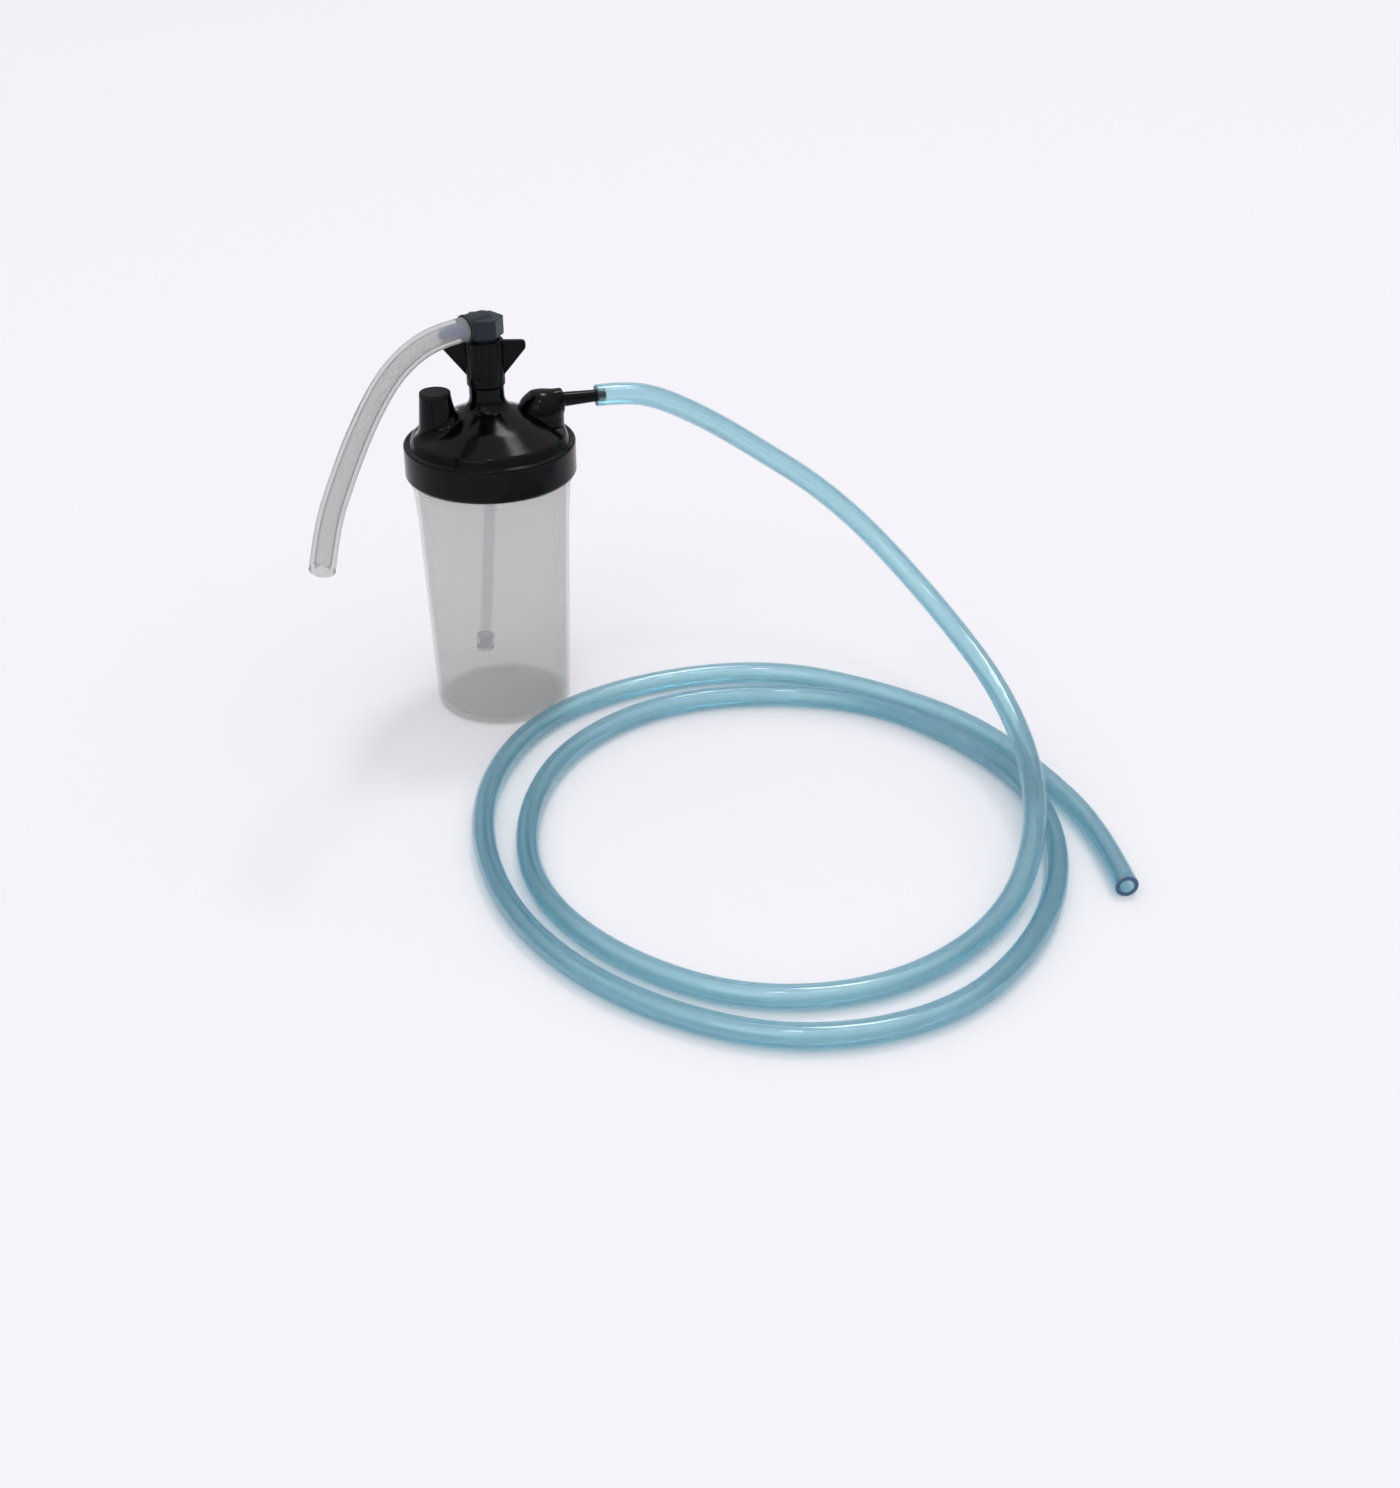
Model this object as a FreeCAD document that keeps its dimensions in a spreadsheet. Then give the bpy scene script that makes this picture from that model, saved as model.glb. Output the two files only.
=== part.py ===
import FreeCAD, Part
import math
import os

import Sketcher
from FreeCAD import Placement, Rotation, Vector

# Bubble humidifier bottle with its hoses: a screw-top jar, a domed lid with a stem, a relief
# valve and an outlet elbow, a wing nut that holds a hex elbow on the stem, and two hoses.
# +Z is up along the jar's axis, +X runs out along the outlet nozzle, and the origin is the
# centre of the jar's foot.

SIZES = {
    # jar
    "foot_radius": 29.0,
    "foot_recess": 0.8,
    "jar_base_radius": 33.4,
    "jar_top_radius": 37.3,
    "jar_wall": 1.7,
    "jar_floor": 2.0,
    "shoulder_height": 118.0,
    "bead_radius": 38.2,
    "bead_top": 121.2,
    "neck_radius": 36.2,
    "neck_bore": 34.4,
    "neck_top": 135.0,
    "jar_pitch": 4.0,
    "jar_thread_crest": 37.5,
    "jar_thread_bottom": 125.2,
    "thread_rise": 4.6,
    # lid
    "gasket_thickness": 1.6,
    "lid_radius": 41.0,
    "skirt_bottom": 121.9,
    "skirt_top": 138.3,
    "skirt_bore": 38.0,
    "lid_thread_crest": 36.8,
    "rim_radius": 39.5,
    "dome_shoulder_radius": 36.0,
    "dome_shoulder_height": 142.3,
    "dome_root_height": 147.8,
    "dome_wall": 2.4,
    "stem_radius": 8.25,
    "stem_top": 165.5,
    "stem_bore": 5.0,
    "nipple_seat": 152.0,
    # dip tube and diffuser
    "socket_radius": 5.2,
    "socket_bottom": 128.0,
    "dip_radius": 3.1,
    "dip_bore": 2.2,
    "dip_top": 147.5,
    "dip_bend_height": 124.0,
    "dip_end_height": 30.0,
    "dip_lean": 5.0,
    "dip_azimuth": 163.3,
    "diffuser_radius": 4.3,
    "diffuser_length": 8.0,
    "diffuser_overlap": 4.0,
    "diffuser_hole_rise": 1.3,
    "diffuser_hole_radius": 0.5,
    "diffuser_holes": 5,
    # relief valve
    "relief_offset": 24.6,
    "relief_base_radius": 8.6,
    "relief_top_radius": 7.4,
    "relief_base_height": 141.0,
    "relief_rim": 163.0,
    "relief_bore": 5.4,
    "relief_seat": 147.5,
    "relief_port": 2.6,
    "vent_radius": 1.2,
    "vent_rise": 6.0,
    "cap_thickness": 1.8,
    "plug_bottom": 159.0,
    "poppet_radius": 4.7,
    "poppet_thickness": 1.5,
    "poppet_stem": 1.5,
    "seal_thickness": 1.4,
    "spring_wire": 0.45,
    "spring_radius": 2.9,
    "spring_turns": 4.0,
    # outlet
    "post_offset": 25.4,
    "post_radius": 11.2,
    "post_seat": 147.0,
    "ball_height": 148.6,
    "boss_depth": 7.4,
    "port_bore": 8.0,
    "spigot_depth": 4.0,
    "spigot_length": 6.0,
    "gas_way": 3.5,
    "nozzle_height": 154.0,
    "collar_radius": 5.6,
    "collar_face": 36.4,
    "nozzle_seat": 29.0,
    "nozzle_base_radius": 3.3,
    "nozzle_tip_radius": 2.9,
    "nozzle_end": 57.5,
    "nozzle_bore": 1.7,
    "outlet_hose_start": 53.0,
    # stem stack
    "nipple_radius": 4.8,
    "nipple_bore": 2.0,
    "nipple_flange_radius": 6.6,
    "nipple_flange_bottom": 167.4,
    "nipple_flange_top": 169.6,
    "nipple_nose_top": 174.5,
    "ring_groove_bottom": 156.0,
    "o_ring_wire": 0.7,
    "clip_bottom": 162.3,
    "clip_thickness": 0.9,
    "clip_gap": 2.4,
    "nut_bottom": 165.9,
    "nut_top": 187.5,
    "nut_radius": 9.0,
    "nut_lip_bore": 5.2,
    "nut_lip_top": 167.1,
    "nut_bore": 7.3,
    "nut_thread_crest": 6.6,
    "nut_thread_bottom": 179.6,
    "nut_thread_rise": 6.4,
    "elbow_pitch": 1.411,
    "wing_azimuth": -16.7,
    "wing_root_height": 170.7,
    "wing_reach": 19.3,
    "wing_tip_height": 183.9,
    "wing_top_reach": 18.2,
    "wing_top": 187.0,
    "wing_thickness": 3.4,
    "flute_depth": 0.45,
    "flute_radius": 2.6,
    "flutes": 10,
    "wings": 2,
    # elbow fitting
    "washer_thickness": 1.6,
    "spigot_bottom": 171.3,
    "spigot_radius": 6.2,
    "spigot_thread_crest": 6.85,
    "elbow_azimuth": 205.3,
    "hex_bottom": 189.4,
    "hex_top": 198.2,
    "hex_circumradius": 9.7,
    "hex_rounding": 0.7,
    "barb_height": 194.5,
    "barrel_radius": 6.3,
    "barrel_face": 9.3,
    "elbow_bore": 2.6,
    "seal_ring_radius": 6.5,
    "seal_ring_face": 10.9,
    "barb_radius": 3.1,
    "barb_root_radius": 2.5,
    "barb_bore": 1.6,
    "barb_start": 4.0,
    "barb_tooth": 5.0,
    "barb_end": 24.0,
    # hoses
    "supply_hose_radius": 5.6,
    "supply_hose_bore": 3.2,
    "outlet_hose_radius": 5.25,
    "outlet_hose_bore": 3.0,
    "supply_end_length": 10.0,
    "outlet_end_length": 20.0,
    # length of a cut that only has to pass the material
    "through": 40.0,
}

# Centre line of the supply hose, from the barb to its free end.
SUPPLY_HOSE_ROUTE = [
    (-9.9, -4.7, 194.5),
    (-22.4, -10.6, 194.5),
    (-35.6, -17.7, 191.3),
    (-48.4, -27.9, 185.1),
    (-60.0, -41.3, 176.0),
    (-70.8, -55.6, 165.0),
    (-81.0, -71.0, 153.0),
    (-90.0, -87.0, 142.0),
    (-96.0, -105.0, 130.5),
]

# Centre line of the outlet hose, from the nozzle over its own loops, down to the surface, twice
# round, under the arch and out to its free end.
OUTLET_HOSE_ROUTE = [
    (53.0, 0.0, 154.0),
    (68.5, 0.0, 154.0),
    (84.0, -2.2, 150.4),
    (104.0, -7.5, 140.4),
    (122.0, -12.0, 129.0),
    (166.0, -35.0, 100.0),
    (198.0, -80.0, 62.0),
    (211.0, -145.0, 36.0),
    (196.0, -211.0, 20.0),
    (157.0, -264.0, 5.25),
    (94.0, -295.0, 5.25),
    (32.0, -285.0, 5.25),
    (-11.0, -241.0, 5.25),
    (-31.0, -184.0, 5.25),
    (-20.0, -124.0, 5.25),
    (12.0, -73.0, 5.25),
    (64.0, -45.0, 5.25),
    (121.0, -49.0, 5.25),
    (172.0, -76.0, 5.25),
    (199.0, -123.0, 5.25),
    (211.0, -178.0, 5.25),
    (195.0, -235.0, 5.25),
    (159.0, -284.0, 5.25),
    (105.0, -318.0, 5.25),
    (40.0, -314.0, 5.25),
    (-11.0, -273.0, 5.25),
    (-41.0, -215.0, 5.25),
    (-46.0, -150.0, 5.25),
    (-29.0, -87.0, 5.25),
    (12.0, -37.0, 5.25),
    (74.0, -19.0, 5.25),
    (137.0, -28.0, 5.25),
    (180.0, -67.0, 5.25),
    (211.0, -114.0, 5.25),
    (220.0, -165.0, 5.25),
    (223.0, -215.0, 5.25),
    (212.0, -261.0, 5.25),
]
ARC_SHARE = 0.45

doc = FreeCAD.newDocument("HumidifierBottle")
sheet = doc.addObject("Spreadsheet::Sheet", "Sizes")
for row, (alias, number) in enumerate(SIZES.items(), start=1):
    sheet.set("A%d" % row, alias.replace("_", " "))
    sheet.set("B%d" % row, str(number))
    sheet.setAlias("B%d" % row, alias)
doc.recompute()


def size(alias):
    """The value of one cell of the sheet, in millimetres or degrees."""
    return float(sheet.get(alias))


def bind(thing, **expressions):
    """Binds properties to sheet expressions; a double underscore stands for a dot."""
    for path, expression in expressions.items():
        thing.setExpression(path.replace("__", "."), expression)


def new_body(label):
    """A body named after its node."""
    body = doc.addObject("PartDesign::Body", label)
    body.Label = label
    return body


def origin_plane(body, role):
    """One of the body's own origin planes or axes."""
    return next(feature for feature in body.Origin.OriginFeatures if feature.Role == role)


def closed_sketch(body, name, corners, role="XZ_Plane"):
    """A closed outline through corners; each corner is a pair of sheet expressions."""
    sketch = body.newObject("Sketcher::SketchObject", name)
    sketch.AttachmentSupport = [(origin_plane(body, role), "")]
    sketch.MapMode = "FlatFace"
    count = len(corners)
    step = 2.0 * math.pi / count
    start = [Vector(50 + 10 * math.cos(k * step), 50 + 10 * math.sin(k * step), 0) for k in range(count)]
    for k in range(count):
        sketch.addGeometry(Part.LineSegment(start[k], start[(k + 1) % count]), False)
    for k in range(count):
        sketch.addConstraint(Sketcher.Constraint("Coincident", k, 2, (k + 1) % count, 1))
    for k, (across, up) in enumerate(corners):
        for kind, value in (("DistanceX", across), ("DistanceY", up)):
            place = getattr(start[k], "x" if kind == "DistanceX" else "y")
            index = sketch.addConstraint(Sketcher.Constraint(kind, -1, 1, k, 1, place))
            sketch.setExpression("Constraints[%d]" % index, value)
    return sketch


def revolve(body, name, corners):
    """Turns an outline of (radius, height) corners about the body's Z axis."""
    sketch = closed_sketch(body, name + "Outline", corners)
    turned = body.newObject("PartDesign::Revolution", name)
    turned.Profile = (sketch, [""])
    turned.ReferenceAxis = (sketch, ["V_Axis"])
    turned.Angle = 360.0
    doc.recompute()
    return turned


def ridge(body, name, corners, pitch, rise):
    """A helical thread ridge of the outline, which climbs to the right."""
    sketch = closed_sketch(body, name + "Outline", corners)
    thread = body.newObject("PartDesign::AdditiveHelix", name)
    thread.Profile = (sketch, [""])
    thread.ReferenceAxis = (sketch, ["V_Axis"])
    thread.Mode = "pitch-height-angle"
    bind(thread, Pitch=pitch, Height=rise)
    doc.recompute()
    return thread


def primitive(body, kind, name, place, turn=None, **sizes):
    """An additive or subtractive primitive of the body, placed by expressions."""
    piece = body.newObject("PartDesign::" + kind, name)
    if turn is not None:
        piece.Placement = Placement(Vector(), turn)
    for axis, expression in zip("xyz", place):
        piece.setExpression("Placement.Base." + axis, expression)
    bind(piece, **sizes)
    doc.recompute()
    return piece


def volume_falls(body, make):
    """Runs a cut and makes sure that it took material away."""
    before = body.Shape.Volume
    result = make()
    assert body.Shape.Volume < before - 0.01, body.Label + ": a cut removed nothing"
    return result


def edges_where(shape, test):
    """Names of the shape's edges that pass the test."""
    return ["Edge%d" % k for k, edge in enumerate(shape.Edges, start=1) if test(edge)]


def ring_at(radius, height):
    """Test for a circular edge about Z of the given radius and height."""
    def test(edge):
        if not isinstance(edge.Curve, Part.Circle):
            return False
        centre = edge.Curve.Center
        near_axis = math.hypot(centre.x, centre.y) < 0.01
        return near_axis and abs(edge.Curve.Radius - radius) < 0.02 and abs(centre.z - height) < 0.02
    return test


def soften(body, base, name, radius, test, kind="Fillet"):
    """A fillet or chamfer on the edges of the base feature that pass the test."""
    names = edges_where(base.Shape, test)
    assert names, body.Label + ": no edge for " + name
    feature = body.newObject("PartDesign::" + kind, name)
    feature.Base = (base, names)
    if kind == "Fillet":
        feature.Radius = radius
    else:
        feature.Size = radius
    doc.recompute()
    return feature


def around(radius, azimuth):
    """A point at the radius and azimuth in the XY plane."""
    angle = math.radians(azimuth)
    return Vector(radius * math.cos(angle), radius * math.sin(angle), 0)


def tube_path(points):
    """Straight runs joined by tangent arcs, as large as the two runs at each point allow."""
    points = [Vector(*point) for point in points]
    edges = []
    radii = []
    last = points[0]
    for before, corner, after in zip(points, points[1:], points[2:]):
        back = before - corner
        ahead = after - corner
        reach = ARC_SHARE * min(back.Length, ahead.Length)
        back.normalize()
        ahead.normalize()
        half_turn = (math.pi - back.getAngle(ahead)) / 2.0
        radius = reach / math.tan(half_turn)
        middle = back + ahead
        middle.normalize()
        centre = corner + middle * (radius / math.cos(half_turn))
        start = corner + back * reach
        end = corner + ahead * reach
        edges.append(Part.LineSegment(last, start).toShape())
        edges.append(Part.Arc(start, centre - middle * radius, end).toShape())
        radii.append(radius)
        last = end
    edges.append(Part.LineSegment(last, points[-1]).toShape())
    return Part.Wire(edges), radii


def hose(label, points, outer, bore):
    """A round hose along the route; its volume is compared with section times length."""
    path, radii = tube_path(points)
    start = Vector(*points[0])
    heading = Vector(*points[1]) - start
    skins = []
    for radius in (size(outer), size(bore)):
        ring = Part.Wire(Part.makeCircle(radius, start, heading))
        skins.append(path.makePipeShell([ring], True, False))
    solid = skins[0].cut(skins[1]).Solids[0]
    section = math.pi * (size(outer) ** 2 - size(bore) ** 2)
    expected = section * path.Length
    print("%s: length %.0f mm, radii %s" % (label, path.Length, [round(r) for r in radii]))
    assert abs(solid.Volume / expected - 1.0) < 0.01, label + ": volume differs from its length"
    feature = doc.addObject("Part::Feature", label)
    feature.Label = label
    feature.Shape = solid
    feature.Placement = Placement()
    return feature


def hose_end(label, route, outer, bore, length):
    """The straight free end of a hose, cut square, and the point where it starts."""
    tip = Vector(*route[-1])
    heading = (tip - Vector(*route[-2])).normalize()
    start = tip - heading * size(length)
    end = doc.addObject("Part::Cut", label)
    for part, radius in (("Base", outer), ("Tool", bore)):
        cylinder = doc.addObject("Part::Cylinder", label + part)
        bind(cylinder, Radius="Sizes." + radius, Height="Sizes." + length)
        cylinder.Placement = Placement(start, Rotation(Vector(0, 0, 1), heading))
        setattr(end, part, cylinder)
    end.Label = label
    doc.recompute()
    return end, tuple(start)


# Jar: a tapered cup with a grooved foot, a bead under the lid and a threaded neck.
jar = new_body("jar")
jar_turned = revolve(jar, "JarWall", [
    ("0", "0"),
    ("Sizes.foot_radius - 3", "0"),
    ("Sizes.foot_radius - 2.4", "Sizes.foot_recess"),
    ("Sizes.foot_radius", "Sizes.foot_recess"),
    ("Sizes.foot_radius + 0.6", "0"),
    ("Sizes.jar_base_radius", "0"),
    ("Sizes.jar_top_radius", "Sizes.shoulder_height"),
    ("Sizes.bead_radius", "Sizes.shoulder_height + 0.8"),
    ("Sizes.bead_radius", "Sizes.bead_top"),
    ("Sizes.neck_radius", "Sizes.bead_top"),
    ("Sizes.neck_radius", "Sizes.neck_top"),
    ("Sizes.neck_bore", "Sizes.neck_top"),
    ("Sizes.neck_bore", "Sizes.shoulder_height + 1"),
    ("Sizes.jar_top_radius - Sizes.jar_wall", "Sizes.shoulder_height - 1"),
    ("Sizes.jar_base_radius - Sizes.jar_wall", "Sizes.foot_recess + Sizes.jar_floor"),
    ("0", "Sizes.foot_recess + Sizes.jar_floor"),
])
jar_foot = soften(jar, jar_turned, "FootRounding", 2.2, ring_at(size("jar_base_radius"), 0))
inside_foot = size("foot_recess") + size("jar_floor")
soften(jar, jar_foot, "InsideRounding", 2.0, ring_at(size("jar_base_radius") - size("jar_wall"), inside_foot))
ridge(jar, "JarThread", [
    ("Sizes.neck_radius - 0.4", "Sizes.jar_thread_bottom"),
    ("Sizes.jar_thread_crest", "Sizes.jar_thread_bottom + 0.5"),
    ("Sizes.jar_thread_crest", "Sizes.jar_thread_bottom + 1.1"),
    ("Sizes.neck_radius - 0.4", "Sizes.jar_thread_bottom + 1.6"),
], "Sizes.jar_pitch", "Sizes.thread_rise")

# Lid gasket: a flat ring between the jar's rim and the lid.
lid_gasket = new_body("lid_gasket")
revolve(lid_gasket, "GasketRing", [
    ("Sizes.neck_bore - 0.4", "Sizes.neck_top"),
    ("Sizes.neck_radius + 0.6", "Sizes.neck_top"),
    ("Sizes.neck_radius + 0.6", "Sizes.neck_top + Sizes.gasket_thickness"),
    ("Sizes.neck_bore - 0.4", "Sizes.neck_top + Sizes.gasket_thickness"),
])

# Lid: threaded skirt, dome and stem in one moulding, with the relief housing and outlet boss.
lid = new_body("lid")
lid_turned = revolve(lid, "LidShell", [
    ("Sizes.skirt_bore", "Sizes.skirt_bottom"),
    ("Sizes.lid_radius - 0.9", "Sizes.skirt_bottom"),
    ("Sizes.lid_radius", "Sizes.skirt_bottom + 1.2"),
    ("Sizes.lid_radius", "Sizes.skirt_top"),
    ("Sizes.rim_radius", "Sizes.skirt_top"),
    ("Sizes.rim_radius - 0.5", "Sizes.skirt_top - 0.3"),
    ("Sizes.dome_shoulder_radius", "Sizes.dome_shoulder_height"),
    ("Sizes.stem_radius", "Sizes.dome_root_height"),
    ("Sizes.stem_radius", "Sizes.stem_top"),
    ("Sizes.stem_bore", "Sizes.stem_top"),
    ("Sizes.stem_bore", "Sizes.nipple_seat"),
    ("Sizes.dip_bore", "Sizes.nipple_seat"),
    ("Sizes.dip_bore", "Sizes.dip_top"),
    ("Sizes.dip_radius", "Sizes.dip_top"),
    ("Sizes.dip_radius", "Sizes.socket_bottom"),
    ("Sizes.socket_radius", "Sizes.socket_bottom"),
    ("Sizes.socket_radius + 0.6", "Sizes.dome_root_height - Sizes.dome_wall"),
    ("Sizes.dome_shoulder_radius - Sizes.dome_wall", "Sizes.dome_shoulder_height - Sizes.dome_wall - 0.6"),
    ("Sizes.dome_shoulder_radius - Sizes.dome_wall", "Sizes.neck_top + Sizes.gasket_thickness"),
    ("Sizes.skirt_bore", "Sizes.neck_top + Sizes.gasket_thickness"),
])
lid_rim = soften(lid, lid_turned, "RimRounding", 1.3, ring_at(size("lid_radius"), size("skirt_top")))
lid_dome = soften(lid, lid_rim, "DomeShoulder", 5.0,
                  ring_at(size("dome_shoulder_radius"), size("dome_shoulder_height")))
lid_flare = soften(lid, lid_dome, "StemFlare", 7.0, ring_at(size("stem_radius"), size("dome_root_height")))
primitive(lid, "AdditiveCone", "ReliefHousing",
          ("-Sizes.relief_offset", "0", "Sizes.relief_base_height - 1.6"),
          Radius1="Sizes.relief_base_radius", Radius2="Sizes.relief_top_radius",
          Height="Sizes.relief_rim - Sizes.relief_base_height + 1.6")
primitive(lid, "AdditiveCylinder", "OutletBoss",
          ("Sizes.post_offset", "0", "Sizes.post_seat - Sizes.boss_depth"),
          Radius="Sizes.post_radius", Height="Sizes.boss_depth")
volume_falls(lid, lambda: primitive(
    lid, "SubtractiveCylinder", "ReliefBore",
    ("-Sizes.relief_offset", "0", "Sizes.relief_seat"),
    Radius="Sizes.relief_bore", Height="Sizes.through"))
volume_falls(lid, lambda: primitive(
    lid, "SubtractiveCylinder", "ReliefPort",
    ("-Sizes.relief_offset", "0", "Sizes.neck_top"),
    Radius="Sizes.relief_port", Height="Sizes.through"))
volume_falls(lid, lambda: primitive(
    lid, "SubtractiveCylinder", "ReliefVent",
    ("-Sizes.relief_offset", "Sizes.relief_bore - 1", "Sizes.relief_seat + Sizes.vent_rise"),
    turn=Rotation(Vector(1, 0, 0), -90), Radius="Sizes.vent_radius", Height="Sizes.relief_bore"))
volume_falls(lid, lambda: primitive(
    lid, "SubtractiveCylinder", "OutletPort",
    ("Sizes.post_offset", "0", "Sizes.neck_top"),
    Radius="Sizes.port_bore", Height="Sizes.through"))
volume_falls(lid, lambda: primitive(
    lid, "SubtractiveCylinder", "ClipGroove",
    ("0", "0", "Sizes.clip_bottom - 0.05"),
    Radius="Sizes.stem_bore + 0.8", Height="Sizes.clip_thickness + 0.1"))
ridge(lid, "LidThread", [
    ("Sizes.skirt_bore + 0.4", "Sizes.jar_thread_bottom - 2.0"),
    ("Sizes.skirt_bore + 0.4", "Sizes.jar_thread_bottom - 0.4"),
    ("Sizes.lid_thread_crest", "Sizes.jar_thread_bottom - 0.9"),
    ("Sizes.lid_thread_crest", "Sizes.jar_thread_bottom - 1.5"),
], "Sizes.jar_pitch", "Sizes.thread_rise")

# Outlet elbow: a ball-topped post with a side collar, plugged into the lid's boss.
outlet_elbow = new_body("outlet_elbow")
primitive(outlet_elbow, "AdditiveCylinder", "Post", ("Sizes.post_offset", "0", "Sizes.post_seat"),
          Radius="Sizes.post_radius", Height="Sizes.ball_height - Sizes.post_seat")
primitive(outlet_elbow, "AdditiveSphere", "BallTop", ("Sizes.post_offset", "0", "Sizes.ball_height"),
          Radius="Sizes.post_radius")
SIDEWAYS = Rotation(Vector(0, 1, 0), 90)
primitive(outlet_elbow, "AdditiveCylinder", "Collar", ("Sizes.post_offset", "0", "Sizes.nozzle_height"),
          turn=SIDEWAYS, Radius="Sizes.collar_radius", Height="Sizes.collar_face - Sizes.post_offset")
volume_falls(outlet_elbow, lambda: primitive(
    outlet_elbow, "SubtractiveBox", "SeatFace",
    ("Sizes.post_offset - Sizes.through / 2", "-Sizes.through / 2", "Sizes.post_seat - Sizes.through"),
    Length="Sizes.through", Width="Sizes.through", Height="Sizes.through"))
primitive(outlet_elbow, "AdditiveCylinder", "Spigot",
          ("Sizes.post_offset", "0", "Sizes.post_seat - Sizes.spigot_depth"),
          Radius="Sizes.port_bore - 0.05", Height="Sizes.spigot_length")
volume_falls(outlet_elbow, lambda: primitive(
    outlet_elbow, "SubtractiveCylinder", "GasWay",
    ("Sizes.post_offset", "0", "Sizes.post_seat - Sizes.spigot_depth - 1"), Radius="Sizes.gas_way",
    Height="Sizes.nozzle_height - Sizes.post_seat + Sizes.spigot_depth + 1"))
volume_falls(outlet_elbow, lambda: primitive(
    outlet_elbow, "SubtractiveCylinder", "NozzleSocket",
    ("Sizes.post_offset", "0", "Sizes.nozzle_height"), turn=SIDEWAYS,
    Radius="Sizes.nozzle_base_radius", Height="Sizes.through"))

# Outlet nozzle: a tapered tube pressed into the collar.
outlet_nozzle = new_body("outlet_nozzle")
revolve(outlet_nozzle, "NozzleTube", [
    ("Sizes.nozzle_bore", "Sizes.nozzle_seat"),
    ("Sizes.nozzle_base_radius", "Sizes.nozzle_seat"),
    ("Sizes.nozzle_base_radius", "Sizes.collar_face + 0.5"),
    ("Sizes.nozzle_tip_radius", "Sizes.outlet_hose_start - 1"),
    ("Sizes.nozzle_tip_radius", "Sizes.nozzle_end - 1"),
    ("Sizes.nozzle_tip_radius - 0.4", "Sizes.nozzle_end"),
    ("Sizes.nozzle_bore", "Sizes.nozzle_end"),
])
outlet_nozzle.Placement = Placement(Vector(0, 0, size("nozzle_height")), SIDEWAYS)

# Relief valve: seal, poppet, spring and cap, stacked in the lid's housing.
relief_axis = Placement(Vector(-size("relief_offset"), 0, 0), Rotation())
relief_seal = new_body("relief_seal")
revolve(relief_seal, "SealRing", [
    ("Sizes.relief_port + 0.3", "Sizes.relief_seat"),
    ("Sizes.poppet_radius - 0.2", "Sizes.relief_seat"),
    ("Sizes.poppet_radius - 0.2", "Sizes.relief_seat + Sizes.seal_thickness"),
    ("Sizes.relief_port + 0.3", "Sizes.relief_seat + Sizes.seal_thickness"),
])
relief_seal.Placement = relief_axis
relief_poppet = new_body("relief_poppet")
revolve(relief_poppet, "Poppet", [
    ("0", "Sizes.relief_seat + 0.2"),
    ("Sizes.relief_port + 0.2", "Sizes.relief_seat + 0.2"),
    ("Sizes.relief_port + 0.2", "Sizes.relief_seat + Sizes.seal_thickness"),
    ("Sizes.poppet_radius", "Sizes.relief_seat + Sizes.seal_thickness"),
    ("Sizes.poppet_radius", "Sizes.relief_seat + Sizes.seal_thickness + Sizes.poppet_thickness"),
    ("Sizes.poppet_stem", "Sizes.relief_seat + Sizes.seal_thickness + Sizes.poppet_thickness"),
    ("Sizes.poppet_stem", "Sizes.plug_bottom + 0.6"),
    ("0", "Sizes.plug_bottom + 0.6"),
])
relief_poppet.Placement = relief_axis
relief_cap = new_body("relief_cap")
cap_turned = revolve(relief_cap, "Cap", [
    ("0", "Sizes.relief_rim - 0.6"),
    ("Sizes.poppet_stem + 0.2", "Sizes.relief_rim - 0.6"),
    ("Sizes.poppet_stem + 0.2", "Sizes.plug_bottom"),
    ("Sizes.relief_bore - 0.03", "Sizes.plug_bottom"),
    ("Sizes.relief_bore - 0.03", "Sizes.relief_rim"),
    ("Sizes.relief_top_radius", "Sizes.relief_rim"),
    ("Sizes.relief_top_radius - 0.1", "Sizes.relief_rim + Sizes.cap_thickness"),
    ("0", "Sizes.relief_rim + Sizes.cap_thickness"),
])
soften(relief_cap, cap_turned, "CapEdge", 0.5,
       ring_at(size("relief_top_radius") - 0.1, size("relief_rim") + size("cap_thickness")))
relief_cap.Placement = relief_axis

spring_bottom = size("relief_seat") + size("seal_thickness") + size("poppet_thickness")
spring_bottom += size("spring_wire") + 0.02
spring_top = size("plug_bottom") - size("spring_wire") - 0.02
spring_rise = spring_top - spring_bottom
coil = Part.makeHelix(spring_rise / size("spring_turns"), spring_rise, size("spring_radius"))
wire_start = Vector(size("spring_radius"), 0, 0)
wire_ring = Part.Wire(Part.makeCircle(size("spring_wire"), wire_start, Vector(0, 1, 0)))
relief_spring = doc.addObject("Part::Feature", "relief_spring")
relief_spring.Label = "relief_spring"
relief_spring.Shape = Part.Wire(coil).makePipeShell([wire_ring], True, True)
relief_spring.Placement = Placement(Vector(-size("relief_offset"), 0, spring_bottom), Rotation())

# Dip tube: plugged into the socket under the stem, leaning a little on its way down.
lean = math.radians(size("dip_lean"))
dip_drop = size("dip_bend_height") - size("dip_end_height")
dip_end = around(dip_drop * math.tan(lean), size("dip_azimuth"))
dip_heading = Vector(dip_end.x, dip_end.y, -dip_drop)
dip_route = [
    (0, 0, size("dip_top")),
    (0, 0, size("dip_bend_height")),
    (dip_end.x, dip_end.y, size("dip_end_height")),
]
dip_tube = hose("dip_tube", dip_route, "dip_radius", "dip_bore")

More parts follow.
